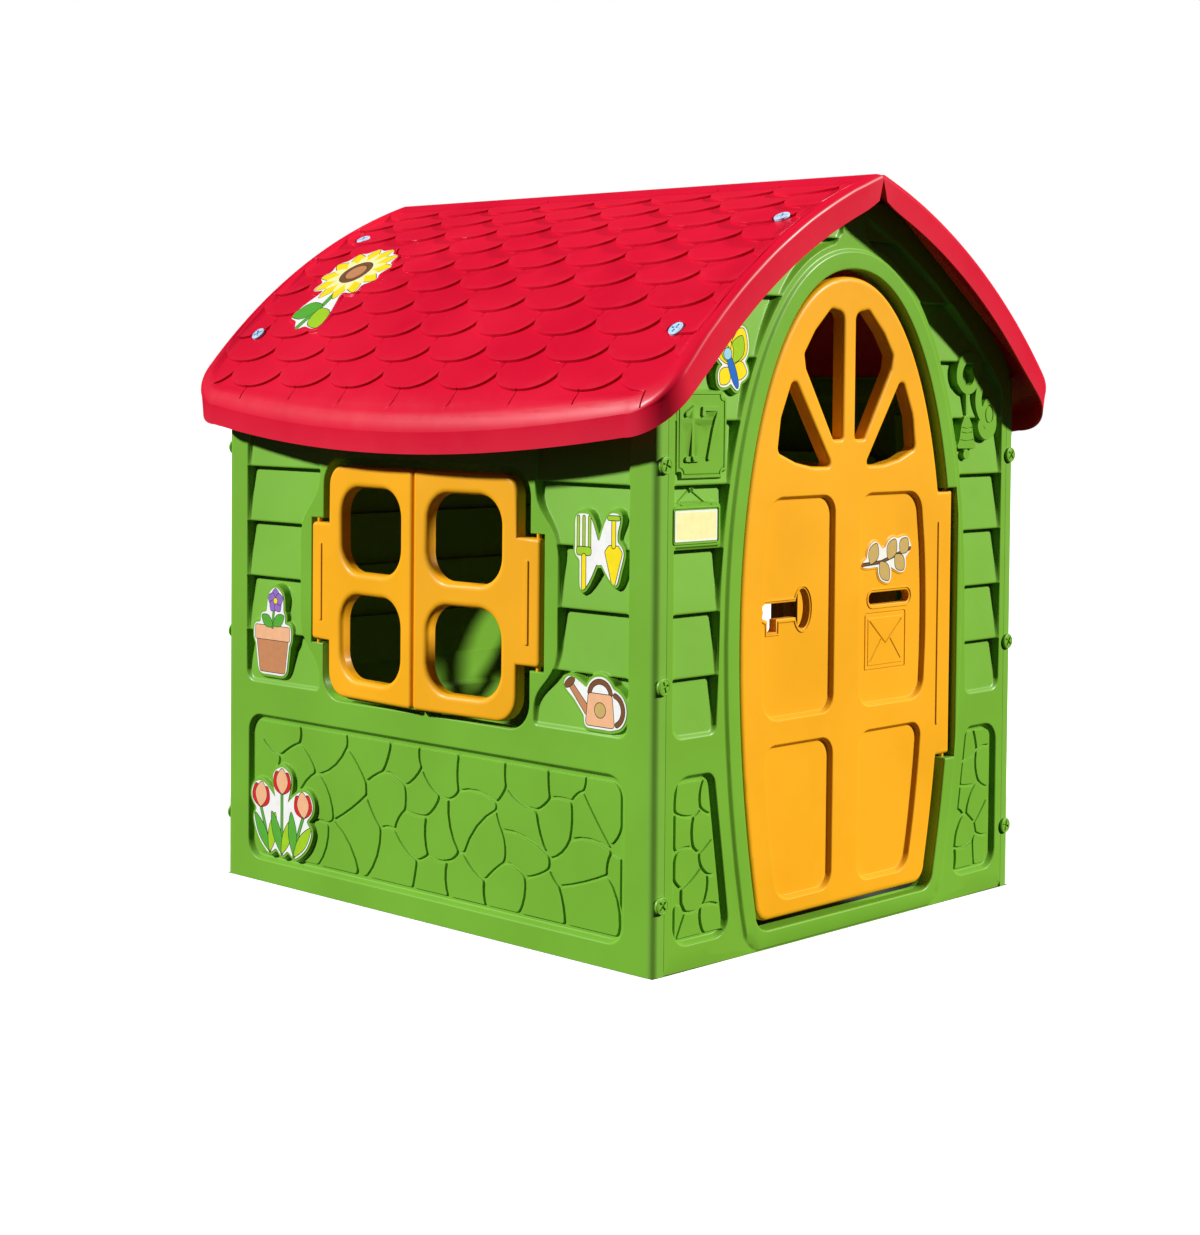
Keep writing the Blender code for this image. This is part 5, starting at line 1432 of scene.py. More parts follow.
def window_wall(name, node, place, features, material):
    """A side wall that turns round both house corners, with its window and stop."""
    outline = [(-HALF_DEPTH, 0.0), (HALF_DEPTH, 0.0), (HALF_DEPTH, SIDE_HEIGHT),
               (-HALF_DEPTH, SIDE_HEIGHT)]
    window = window_loop()

    def outer(points):
        height = relief_height(points, features)
        height += eased(HALF_DEPTH - np.abs(points[:, 0]), CORNER_ROUND)
        return height + eased(-depth_inside(points, window), OPENING_ROUND)

    def inner(points):
        height = relief_height(points, features) - SKIN
        return height + eased(HALF_DEPTH - SKIN - np.abs(points[:, 0]), CORNER_ROUND - SKIN)

    def edge_depth(points):
        at_side = np.abs(points[:, 0]) > HALF_DEPTH - SKIN - 0.0002
        depth = np.where(at_side, RETURN_FLANGE, PLAIN_EDGE)
        near_end = (points[:, 1] < 2.0 * SKIN) | (points[:, 1] > SIDE_HEIGHT - 2.0 * SKIN)
        return -np.where(~at_side & ~near_end, OPENING_FLANGE, depth)

    outer_lines = relief_lines(features, True)
    inner_lines = relief_lines(broad_features(features), False)
    outer_lines += easing_rings(window, OPENING_ROUND, outward=True)
    for side in (-1.0, 1.0):
        for step in easing_steps(CORNER_ROUND):
            u = side * (HALF_DEPTH - step)
            outer_lines.append([(u, 0.0), (u, SIDE_HEIGHT)])
        for step in [0.0003] + easing_steps(CORNER_ROUND - SKIN):
            u = side * (HALF_DEPTH - SKIN - step)
            inner_lines.append([(u, SKIN), (u, SIDE_HEIGHT - SKIN)])
    loose = loose_grid(outline[0], outline[2], WALL_GRID, outline, GUARD)
    skin = Skin(outline, [window], outer, inner, edge_depth, place)
    vertices, faces = join_parts([skin.mesh(outer_lines, inner_lines, loose), stop_lip(place)])
    return new_piece(name, vertices, faces, [material], node)


def arc_path(cu, cv, radius, start, end, count=16, grow=0.0):
    path = []
    for k in range(count + 1):
        t = k / count
        a = math.radians(start + (end - start) * t)
        r = radius + grow * t
        path.append((cu + r * math.cos(a), cv + r * math.sin(a)))
    return path


def scroll_and_bell():
    """A scrolled bracket with a small hanging bell, level with the wall over the sunk planks."""
    level = 0.0005
    arm = arc_path(0.3230, 0.8900, 0.0300, 200, 20, 20)
    curl = arc_path(0.3230, 0.8900, 0.0300, 200, 395, 20, -0.0130)
    back = arc_path(0.3880, 0.8480, 0.0390, 150, 232, 12)
    hook = arc_path(0.3760, 0.8080, 0.0200, 190, 400, 20)
    features = [Stroke(path, width, 0.0025, level, level=True)
                for path, width in ((arm, 0.0085), (curl, 0.0070), (back, 0.0090), (hook, 0.0080))]
    features.append(raised(ellipse_loop(0.3820, 0.8230, 0.0220, 0.0280, 36), 0.0025, level))
    ring = ellipse_loop(0.3820, 0.8230, 0.0110, 0.0150, 30)
    features.append(Stroke(ring, 0.0005, 0.0010, -0.0014, looped=True))
    features.append(Stroke([(0.3140, 0.8640), (0.3150, 0.8230)], 0.0022, 0.0015, level, level=True))
    bell = rounded_polygon([
        (0.2860, 0.7660, 0.006), (0.3450, 0.7660, 0.006), (0.3370, 0.7790, 0.008),
        (0.3300, 0.8060, 0.010), (0.3210, 0.8200, 0.006), (0.3090, 0.8200, 0.006),
        (0.3000, 0.8060, 0.010), (0.2940, 0.7790, 0.008)], 5)
    features.append(raised(bell, 0.0025, 0.0010))
    features.append(raised(ellipse_loop(0.3150, 0.7560, 0.0085, 0.0080, 24), 0.0020, 0.0008))
    for v, half in ((0.7800, 0.0175), (0.7930, 0.0135), (0.8010, 0.0135)):
        hoop = [(0.3155 - half, v), (0.3155, v - 0.0022), (0.3155 + half, v)]
        features.append(Stroke(hoop, 0.0004, 0.0010, -0.0012))
    return features


def number_plate():
    """A notched plate with a house number in raised figures."""
    plate = rounded_polygon([
        (-0.4070, 0.7330, 0.0), (-0.3185, 0.7330, 0.0), (-0.3180, 0.7430, 0.006),
        (-0.3080, 0.7430, 0.0), (-0.3080, 0.8500, 0.0), (-0.3180, 0.8500, 0.006),
        (-0.3180, 0.8600, 0.0), (-0.4070, 0.8600, 0.0), (-0.4070, 0.8500, 0.006),
        (-0.4180, 0.8500, 0.0), (-0.4180, 0.7430, 0.0), (-0.4070, 0.7430, 0.006)], 5)
    features = [raised(plate, BOSS_SLOPE, 0.0008)]
    features.append(Stroke(offset_loop(plate, 0.0045), 0.0004, 0.0009, -0.0014, looped=True))
    one = [(-0.3985, 0.8270), (-0.3860, 0.8360), (-0.3860, 0.7620)]
    foot = [(-0.3985, 0.7605), (-0.3735, 0.7605)]
    seven = [(-0.3620, 0.8270), (-0.3620, 0.8350), (-0.3270, 0.8350), (-0.3380, 0.8050), (-0.3490, 0.7620)]
    return features + [Stroke(path, 0.0036, 0.0010, 0.0034) for path in (one, foot, seven)]


def name_plaque():
    """A small framed plaque that hangs from a moulded nail on two cords."""
    peak = (-0.3730, 0.7160)
    features = [raised(box_loop(-0.4270, 0.6320, -0.3190, 0.6930, 0.004, 5), BOSS_SLOPE)]
    frame = box_loop(-0.4235, 0.6360, -0.3235, 0.6885, 0.003, 4)
    features.append(Stroke(frame, 0.0006, 0.0010, 0.0016, looped=True))
    for foot in ((-0.4060, 0.6940), (-0.3390, 0.6940)):
        features.append(Stroke([peak, foot], 0.0009, 0.0010, 0.0020))
    features.append(Patch(disc(*peak, 0.0040, 18), 0.0015, 0.0035, outward=True))
    return features


def front_features():
    planks = plank_pocket()
    low, outer, high = FRONT_PANEL_U
    stones_right = rounded_polygon([
        (low, STONE_BOTTOM, 0.030), (outer, STONE_BOTTOM, STONE_ROUND),
        (outer, STONE_TOP, STONE_ROUND), (high, STONE_TOP, 0.022)])
    features = [Planks(planks), Planks(mirrored(planks))]
    for panel, corners, seed in ((stones_right, list(FRONT_STONES), 11),
                                 (mirrored(stones_right), mirrored(FRONT_STONES), 23)):
        features.append(Patch(panel, POCKET_SLOPE, -STONE_DEPTH))
        features += stone_patches(corners, 2, 5, seed)
    features.append(sticker_pad(BUTTERFLY))
    return features + number_plate() + name_plaque() + scroll_and_bell()


def stone_wall(half, inner, columns, seed):
    """A low panel of stones right across a wall."""
    low, high = STONE_AREA_Z
    edge = box_loop(-half, STONE_BOTTOM, half, STONE_TOP, STONE_ROUND)
    panel = Patch(edge, POCKET_SLOPE, -STONE_DEPTH)
    corners = [(-inner, low), (inner, low), (inner, high), (-inner, high)]
    return [panel] + stone_patches(corners, columns, 4, seed)


def side_features(with_stickers, seed):
    features = [Planks(side_pocket()), Planks(mirrored(side_pocket()))]
    features += stone_wall(*SIDE_STONES, seed)
    if with_stickers:
        features += [sticker_pad(entry) for entry in SIDE_STICKERS.values()]
    return features


# ================================================================ door
def fan_holes():
    upper = rounded_polygon([
        (0.0165, 0.7850, 0.006), (0.0385, 0.7850, 0.006), (0.1090, 0.8970, 0.008),
        (0.1135, 0.9200, 0.008), (0.0870, 0.9560, 0.020), (0.0470, 0.9920, 0.010),
        (0.0165, 0.9860, 0.014)])
    lower = rounded_polygon([
        (0.0440, 0.7420, 0.006), (0.0900, 0.7430, 0.030), (0.1300, 0.7500, 0.030),
        (0.1770, 0.7670, 0.010), (0.1690, 0.8200, 0.030), (0.1400, 0.8830, 0.008)])
    return [upper, lower, mirrored(upper), mirrored(lower)]


def door_panels():
    panels = []
    for low, high in PANEL_HEIGHTS:
        outer = []
        for z in np.linspace(low, high, 13):
            outer.append((arch_half_width(z, -DOOR_GAP) - PANEL_INSET, float(z)))
        shape = [(PANEL_CENTRE_GAP, low, PANEL_ROUND * 0.8), (*outer[0], PANEL_ROUND)]
        shape += [(u, v, 0.0) for u, v in outer[3:-3]]
        shape += [(*outer[-1], PANEL_ROUND), (PANEL_CENTRE_GAP, high, PANEL_ROUND * 0.8)]
        right = rounded_polygon(shape, 12)
        panels += [right, mirrored(right)]
    return panels


def key_hole():
    bow = []
    for step in range(33):
        a = math.radians(-157.0 + 314.0 * step / 32)
        bow.append((-0.1045 + 0.0180 * math.cos(a), 0.5200 + 0.0315 * math.sin(a)))
    shaft = []
    for step in range(13):
        a = math.radians(90.0 + 180.0 * step / 12)
        shaft.append((-0.1925 + 0.0125 * math.cos(a), 0.5200 + 0.0125 * math.sin(a)))
    tooth = [(-0.1900, 0.5075), (-0.1900, 0.4880), (-0.1690, 0.4880), (-0.1690, 0.5075)]
    return bow + shaft + tooth


def envelope():
    """The moulded letter under the letter slot: a groove, a raised face and its folds."""
    rim = box_loop(0.0570, 0.4080, 0.1650, 0.5000, 0.003, 4)
    features = [Stroke(rim, 0.0005, 0.0010, -0.0012, looped=True)]
    features.append(Patch(box_loop(0.0640, 0.4150, 0.1580, 0.4930, 0.002, 3), 0.0012, 0.0010))
    features.append(Stroke([(0.0690, 0.4870), (0.1110, 0.4500), (0.1530, 0.4870)], 0.0005, 0.0010, -0.0012))
    for fold in ([(0.0700, 0.4220), (0.0980, 0.4560)], [(0.1520, 0.4220), (0.1240, 0.4560)]):
        features.append(Stroke(fold, 0.0005, 0.0010, -0.0010))
    return features


def build_door(material):
    """The arched door leaf with its fanlight, panels, key cut-out, letter slot and pins."""
    outline = arch_loop(-DOOR_GAP, BLOCK_X, BLOCK_Z)
    key = key_hole()
    slot = box_loop(*LETTER_SLOT, 0.0098)
    fans = fan_holes()
    features = [Patch(panel, PANEL_SLOPE, -PANEL_DEPTH) for panel in door_panels()]
    features.append(Patch(offset_loop(sticker_outline(DOOR_LEAF), -0.002), 0.002, 0.0010, outward=True))
    features.append(Patch(box_loop(*DOOR_BEAD, BEAD_ROUND), BEAD_SLOPE, 0.0020))
    features.append(Stroke(offset_loop(key, -0.0045), 0.0008, 0.0012, 0.0016, looped=True))
    features.append(Stroke(offset_loop(slot, -0.0050), 0.0006, 0.0012, 0.0014, looped=True))
    features += envelope()

    def outer(points):
        height = relief_height(points, features) + eased(depth_inside(points, outline), DOOR_ROUND)
        for fan in fans:
            height += eased(-depth_inside(points, fan), FAN_ROUND)
        for hole in (key, slot):
            height += eased(-depth_inside(points, hole), SLOT_ROUND)
        return height - DOOR_SET_BACK

    def inner(points):
        height = relief_height(points, features) - SKIN - DOOR_SET_BACK
        return height + eased(depth_inside(points, outline) - SKIN, DOOR_ROUND - SKIN)

    def edge_depth(points):
        return np.full(len(points), -DOOR_SET_BACK - DOOR_THICKNESS)

    outer_lines = relief_lines(features, True)
    inner_lines = relief_lines(features[:4], False)
    outer_lines += easing_rings(outline, DOOR_ROUND)
    inner_lines += easing_rings(outline, DOOR_ROUND - SKIN, fine=False, start=SKIN)
    for fan in fans:
        outer_lines += easing_rings(fan, FAN_ROUND, outward=True)
    for hole in (key, slot):
        outer_lines += easing_rings(hole, SLOT_ROUND, outward=True, fine=False)
    loose = loose_grid((-OPENING_HALF, 0.0), (OPENING_HALF, OPENING_CROWN_Z), WALL_GRID, outline, GUARD)
    skin = Skin(outline, fans + [key, slot], outer, inner, edge_depth, front_place)
    leaf = skin.mesh(outer_lines, inner_lines, loose)
    vertices, faces = join_parts([leaf] + hinge_pins(DOOR_AXIS_X, -HALF_DEPTH - DOOR_AXIS_H, *BLOCK_Z))
    return new_piece("door_leaf", vertices, faces, [material], "door", "door")


# ================================================================ shutters
def shutter_place(wall_turn, side):
    axis = np.array([-HALF_WIDTH - SHUTTER_AXIS_H, side * SHUTTER_AXIS_Y, 0.0])
    along = np.array([-math.sin(SHUTTER_AJAR), -side * math.cos(SHUTTER_AJAR), 0.0])
    out = np.array([-math.cos(SHUTTER_AJAR), side * math.sin(SHUTTER_AJAR), 0.0])
    flip = np.array([wall_turn, wall_turn, 1.0])

    def place(points, height):
        flat = axis + points[:, :1] * along + np.asarray(height)[:, None] * out
        flat = flat + points[:, 1:2] * np.array([0.0, 0.0, 1.0])
        return flat * flip

    return place, axis * flip


def build_shutter(node, wall_turn, side, material):
    """One shutter leaf, slightly ajar, with two panes, a hinge block and its pins."""
    low, high = SHUTTER_BLOCK_Z
    block, edge = SHUTTER_BLOCK
    bottom, top = SHUTTER_Z
    outline = rounded_polygon([
        (edge, bottom, SHUTTER_ROUND_BOTTOM), (SHUTTER_END, bottom, SHUTTER_CORNER),
        (SHUTTER_END, top, SHUTTER_CORNER), (edge, top, SHUTTER_ROUND_TOP), (edge, high, 0.0),
        (block, high, SHUTTER_CORNER), (block, low, SHUTTER_CORNER), (edge, low, 0.0)])
    panes = [box_loop(PANE_U[0], z0, PANE_U[1], z1, PANE_CORNER, 12) for z0, z1 in PANE_Z]
    bead = Patch(box_loop(*SHUTTER_BEAD, BEAD_ROUND), BEAD_SLOPE, 0.0022)
    place, axis = shutter_place(wall_turn, side)

    def outer(points):
        height = eased(depth_inside(points, outline), SHUTTER_ROUND) + SHUTTER_FRONT
        for pane in panes:
            height += eased(-depth_inside(points, pane), PANE_ROUND)
        return height + relief_height(points, [bead])

    def inner(points):
        height = np.full(len(points), SHUTTER_FRONT - SKIN)
        height += eased(depth_inside(points, outline) - SKIN, SHUTTER_ROUND - SKIN)
        for pane in panes:
            height += eased(-depth_inside(points, pane) - SKIN, PANE_ROUND - SKIN)
        return height

    def edge_depth(points):
        return np.full(len(points), SHUTTER_FRONT - SHUTTER_THICKNESS)

    outer_lines = bead.lines(True) + easing_rings(outline, SHUTTER_ROUND)
    inner_lines = easing_rings(outline, SHUTTER_ROUND - SKIN, fine=False, start=SKIN)
    for pane in panes:
        outer_lines += easing_rings(pane, PANE_ROUND, outward=True)
        inner_lines += easing_rings(pane, PANE_ROUND - SKIN, outward=True, fine=False, start=SKIN)
    skin = Skin(outline, panes, outer, inner, edge_depth, place)
    pins = hinge_pins(float(axis[0]), float(axis[1]), low, high)
    vertices, faces = join_parts([skin.mesh(outer_lines, inner_lines)] + pins)
    return new_piece(node + "_leaf", vertices, faces, [material], node, node)


# ================================================================ roof
def eave_arc(y):
    return EAVE_ARC - EAVE_BOW * y * y


def roof_outline():
    """One roof half laid flat: arc length from the ridge, and length along the ridge."""
    half = ROOF_HALF_LENGTH
    corner = EAVE_CORNER
    turn_at = eave_arc(half - corner) - corner
    edge = [(s, -half) for s in np.linspace(0.0, turn_at, 24)]
    for step in range(1, 14):
        a = math.radians(-90.0 + 90.0 * step / 14)
        edge.append((turn_at + corner * math.cos(a), -half + corner + corner * math.sin(a)))
    turned = len(edge)
    for y in np.linspace(-(half - corner), half - corner, 45):
        edge.append((eave_arc(y), float(y)))
    upper = [(u, -v) for u, v in reversed(edge[:turned])]
    ridge = [(0.0, float(v)) for v in np.linspace(half - RIDGE_CLEAR, -half + RIDGE_CLEAR, 20)]
    return [(float(u), float(v)) for u, v in edge + upper + ridge]


def toward_eave(points):
    """One along the eave, zero along the gable ends, blended round the corners."""
    straight = ROOF_HALF_LENGTH - EAVE_CORNER
    down = np.maximum(points[:, 0] - (eave_arc(straight) - EAVE_CORNER), 0.0)
    aside = np.maximum(np.abs(points[:, 1]) - straight, 0.0)
    return down ** 2 / np.maximum(down ** 2 + aside ** 2, 1e-12)


def roof_rim(points, outline, inset):
    """Drop of the rim: a quarter round at the gable ends, a gentle shoulder above the eave."""
    depth = depth_inside(points, outline) - inset
    weight = toward_eave(points)
    reach = np.clip(EAVE_SHOULDER - depth, 0.0, EAVE_SHOULDER)
    shoulder = np.sqrt(EAVE_SHOULDER_RADIUS ** 2 - reach ** 2) - EAVE_SHOULDER_RADIUS
    return eased(depth, ROOF_EDGE_ROUND - inset) * (1.0 - weight) + shoulder * weight


def eave_share(s):
    """How far the fascia has turned from square to the slope to its upright set at the eave."""
    return np.clip((s - EAVE_TURN_START) / EAVE_TURN_LENGTH, 0.0, 1.0)


def roof_turn_in(turn):
    """Edges turn in square to the slope, lean apart at the ridge and hang upright at the eave."""
    def turn_in(points, depth):
        s = points[:, 0]
        x, z = roof_point(s, 0.0)
        lean = ROOF_LEAN * np.clip(1.0 - s / ROOF_LEAN_ARC, 0.0, 1.0)
        fade = eave_share(s)
        angle = (roof_slope(s) - lean) * (1.0 - fade) + EAVE_FASCIA_ANGLE * fade
        x = x + np.sin(angle) * depth
        z = z + np.cos(angle) * depth
        return np.stack([turn * x, turn * points[:, 1], z], axis=1)
    return turn_in


def roof_field():
    """Sunk area of the shingles inside the roof's rim."""
    half = ROOF_HALF_LENGTH - FIELD_EDGE
    low = eave_arc(half - FIELD_CORNER) - FIELD_EDGE_AT_EAVE
    shape = [(FIELD_TOP, -half, FIELD_TOP_CORNER), (low, -half, FIELD_CORNER)]
    for y in np.linspace(-half + 0.16, half - 0.16, 19):
        shape.append((eave_arc(y) - FIELD_EDGE_AT_EAVE, float(y), 0.0))
    shape += [(low, half, FIELD_CORNER), (FIELD_TOP, half, FIELD_TOP_CORNER)]
    return rounded_polygon(shape, 12)


def notch_arc(row):
    return SHINGLE_LAST_NOTCH - (SHINGLE_ROWS - 1 - row) * SHINGLE_ROW


def row_shift(row):
    """Layout position of one notch of the row: every other row is shifted by half a shingle."""
    return SHINGLE_SHIFT + (0.5 * SHINGLE_WIDTH if (SHINGLE_ROWS - 1 - row) % 2 else 0.0)


def across(row, v):
    """Position across a shingle: 0 at its left notch, 1 at its right notch."""
    return np.mod(v - row_shift(row), SHINGLE_WIDTH) / SHINGLE_WIDTH


def shingle_foot(row, v):
    """Arc length of a row's scalloped lower edge at layout position v."""
    q = np.abs(2.0 * across(row, v) - 1.0)
    return notch_arc(row) + SHINGLE_DROP * (1.0 - q ** SHINGLE_POWER) ** (1.0 / SHINGLE_POWER)


def shingle_edge(row, count=22):
    """The scalloped lower edge of a row as a list of layout points."""
    shift = row_shift(row)
    first = math.floor((-ROOF_HALF_LENGTH - shift) / SHINGLE_WIDTH)
    last = math.ceil((ROOF_HALF_LENGTH - shift) / SHINGLE_WIDTH)
    points = []
    for index in range(first, last):
        centre = shift + (index + 0.5) * SHINGLE_WIDTH
        for step in range(count):
            a = math.pi * step / count
            aside = math.copysign(abs(math.cos(a)) ** (2.0 / SHINGLE_POWER), math.cos(a))
            v = centre - 0.5 * SHINGLE_WIDTH * aside
            s = notch_arc(row) + SHINGLE_DROP * math.sin(a) ** (2.0 / SHINGLE_POWER)
            points.append((s, v))
    return np.array(points)


def shingle_plane(row, points):
    """A shingle's own surface: tilted down towards its top and towards its right edge."""
    if row >= SHINGLE_ROWS:
        return np.zeros(len(points))
    along = (points[:, 0] - notch_arc(row) + SHINGLE_ROW) / SHINGLE_LENGTH
    side = SHINGLE_SIDE_TILT * (0.5 - across(row, points[:, 1]))
    return SHINGLE_RISE + SHINGLE_TILT * (along - 1.0) + side


def shingle_height(points):
    """Height of the overlapping shingles over the sunk field."""
    s = points[:, 0]
    v = points[:, 1]
    row = np.full(len(points), SHINGLE_ROWS, dtype=int)
    for index in reversed(range(SHINGLE_ROWS)):
        row[s <= shingle_foot(index, v) + 1e-6] = index
    height = np.zeros(len(points))
    for index in range(SHINGLE_ROWS + 1):
        chosen = row == index
        if not chosen.any():
            continue
        here = points[chosen]
        own = shingle_plane(index, here)
        if index > 0:
            edge = shingle_edge(index - 1)
            gap = distance_to_lines(here, edge[:-1], edge[1:])
            soft = ramp((SOFT_FLANK[0] - across(index - 1, here[:, 1])) / SOFT_FLANK[1])
            width = SHINGLE_CRISP + SHINGLE_SOFT * soft
            above = shingle_plane(index - 1, here)
            lip = np.clip(1.0 - (gap - SHINGLE_CRISP) / SHINGLE_LIP_WIDTH, 0.0, 1.0) ** 2
            own = own - SHINGLE_LIP * (1.0 - 0.6 * soft) * lip
            own = own + (above - own) * (1.0 - ramp(gap / width))
        if index < SHINGLE_ROWS:
            share = across(index, here[:, 1])
            beside = np.minimum(share, 1.0 - share) * SHINGLE_WIDTH
            joint = np.clip(1.0 - beside / JOINT_WIDTH, 0.0, 1.0) * (here[:, 0] < notch_arc(index))
            covered = notch_arc(index) - SHINGLE_ROW + SHINGLE_DROP
            own = own - JOINT_DEPTH * joint * (here[:, 0] > covered)
        height[chosen] = own
    first, last = SHINGLE_END
    return height * (1.0 - ramp((s - first) / (last - first)))


def clipped_lines(path, field):
    """The stretches of a path that lie inside the field."""
    keep = depth_inside(path, field, 0.1) > -0.001
    lines = []
    current = []
    for index in range(len(path)):
        if keep[index]:
            current.append(tuple(path[index]))
        jump = index + 1 < len(path) and math.dist(path[index], path[index + 1]) > 0.3 * SHINGLE_WIDTH
        if not keep[index] or jump:
            if len(current) > 1:
                lines.append(current)
            current = []
    if len(current) > 1:
        lines.append(current)
    return lines


def shingle_lines(field):
    lines = []
    overlap = SHINGLE_ROW - SHINGLE_DROP
    for row in range(SHINGLE_ROWS):
        edge = shingle_edge(row)
        run = np.gradient(edge, axis=0)
        run /= np.maximum(np.linalg.norm(run, axis=1)[:, None], 1e-9)
        out = np.stack([run[:, 1], -run[:, 0]], axis=1)
        for reach in (0.0, 0.0005, SHINGLE_CRISP, 0.0018, 0.0030):
            shifted = edge + out * reach
            if reach > 0.0:
                shifted = shifted[shifted[:, 0] > notch_arc(row) + reach * 0.5]
            lines += clipped_lines(shifted, field)
        count = int(2.0 * ROOF_HALF_LENGTH / SHINGLE_WIDTH) + 2
        for index in range(-count, count):
            v = row_shift(row) + index * SHINGLE_WIDTH
            for side in (-JOINT_WIDTH, 0.0, JOINT_WIDTH):
                joint = [(notch_arc(row) - overlap, v + side), (notch_arc(row) - 0.0003, v + side)]
                lines += clipped_lines(np.array(joint), field)
    return lines


def roof_screw_spots():
    return [(arc_at_x(x, 0.0), y) for x in ROOF_SCREW_X for y in (-ROOF_SCREW_Y, ROOF_SCREW_Y)]


def build_roof(node, turn, material, sticker):
    """One roof half: rim, turned-down edges, sunk field of shingles, screw dimples and a pad."""
    outline = roof_outline()
    field = roof_field()
    level = -ROOF_FIELD_DROP

    def field_level(points):
        return level * (1.0 - FIELD_FADE * ramp(eave_share(points[:, 0])))

    def field_height(points):
        return field_level(points) + shingle_height(points)

    features = [Patch(field, FIELD_SLOPE, field_height, guarded=False)]
    for u, v in roof_screw_spots():
        features.append(Patch(disc(u, v, DIMPLE_RADIUS, 32), 0.0022, level - ROOF_DIMPLE, level=True))
    if sticker is not None:
        features.append(sticker_pad(sticker, level + ROOF_PAD))
    last = SHINGLE_ROWS - 1
    for index in range(-3, 5):
        v = row_shift(last) + index * SHINGLE_WIDTH
        features.append(Stroke([(EAVE_SLIT[0], v), (EAVE_SLIT[1], v)], 0.0004, 0.0011, -JOINT_DEPTH))

    def outer(points):
        return relief_height(points, features) + roof_rim(points, outline, 0.0)

    def inner(points):
        share = ramp((depth_inside(points, field) + 0.004) / FIELD_SLOPE)
        height = field_level(points) * share - SKIN
        height = height - SHINGLE_RISE * share
        for feature in features[1:5]:
            height = height - ROOF_DIMPLE * feature.share(points)
        return height + roof_rim(points, outline, SKIN)

    def edge_depth(points):
        half = ROOF_HALF_LENGTH
        at_ridge = points[:, 0] < 1.5 * SKIN
        at_end = np.abs(points[:, 1]) > half - 1.5 * SKIN
        depth = FASCIA_DEPTH + (EAVE_FASCIA_DEPTH - FASCIA_DEPTH) * eave_share(points[:, 0])
        return -np.where(at_ridge & ~at_end, RIDGE_LIP, depth)

    outer_lines = relief_lines(features, True) + shingle_lines(field)
    outer_lines += easing_rings(outline, ROOF_EDGE_ROUND)[:-1]
    for part in (0.45, 0.6, 0.8, 1.0):
        ring = offset_loop(outline, part * EAVE_SHOULDER)
        outer_lines.append([point for point in ring if point[0] > SHOULDER_START])
    inner_lines = relief_lines(features[:5], False)
    inner_lines += easing_rings(outline, ROOF_EDGE_ROUND - SKIN, fine=False, start=SKIN)
    low = (0.012, -ROOF_HALF_LENGTH)
    high = (EAVE_ARC, ROOF_HALF_LENGTH)
    loose = loose_grid(low, high, 0.0110, outline, 0.011)
    loose_inner = loose_grid(low, high, 0.0240, outline, 0.014)
    skin = Skin(outline, [], outer, inner, edge_depth, roof_place(turn), roof_turn_in(turn))
    vertices, faces = skin.mesh(outer_lines, inner_lines, loose, loose_inner)
    return new_piece(node + "_shell", vertices, faces, [material], node, sharp=38.0)


# ================================================================ screws
def build_screw(node, seat, direction, spin, material):
    """A broad flat-topped screw with a moulded cross recess."""
    axis = Vector(direction).normalized()
    side = Vector((0.0, 0.0, 1.0)).cross(axis)
    if side.length < 0.01:
        side = Vector((1.0, 0.0, 0.0))
    side.normalize()
    up = axis.cross(side)
    turned = Matrix.Rotation(spin, 3, axis)
    side = turned @ side
    up = turned @ up
    arm = HEAD_RADIUS * CROSS_ARM
    width = CROSS_WIDTH
    cross = [(arm, -width), (arm, width), (width, width), (width, arm), (-width, arm),
             (-width, width), (-arm, width), (-arm, -width), (-width, -width), (-width, -arm),
             (width, -arm), (width, -width)]
    rim = disc(0.0, 0.0, HEAD_RADIUS, 48)
    recess = Patch(cross, 0.0006, -CROSS_DEPTH)
    ring = Stroke(disc(0.0, 0.0, HEAD_RADIUS * 0.80, 40), 0.0002, 0.0007, -0.0005, looped=True)
    lines = recess.lines(True) + ring.lines(True)
    for step in easing_steps(HEAD_ROUND)[:-1]:
        lines.append(closed(disc(0.0, 0.0, HEAD_RADIUS - step, 48)))
    layout, triangles = triangulate([rim], lines)
    height = relief_height(layout, [recess, ring])
    height += eased(HEAD_RADIUS - np.linalg.norm(layout, axis=1), HEAD_ROUND) + HEAD_HEIGHT
    origin = Vector(seat)
    vertices = [origin + side * float(u) + up * float(v) + axis * float(h)
                for (u, v), h in zip(layout, height)]
    faces = [tuple(int(i) for i in t) for t in triangles]
    chain = border_chains(triangles)[0]
    base = len(vertices)
    for index in chain:
        u, v = layout[index]
        vertices.append(origin + side * float(u) + up * float(v))
    foot = range(base, base + len(chain))
    faces += band_faces(chain, foot)
    faces.append(tuple(reversed(foot)))
    shank = rod_mesh(origin - axis * SHANK_LENGTH, origin - axis * 0.0001, SHANK_RADIUS, 20, 0.0006)
    vertices, faces = join_parts([(vertices, faces), shank])
    return new_piece(node + "_head", vertices, faces, [material], node)


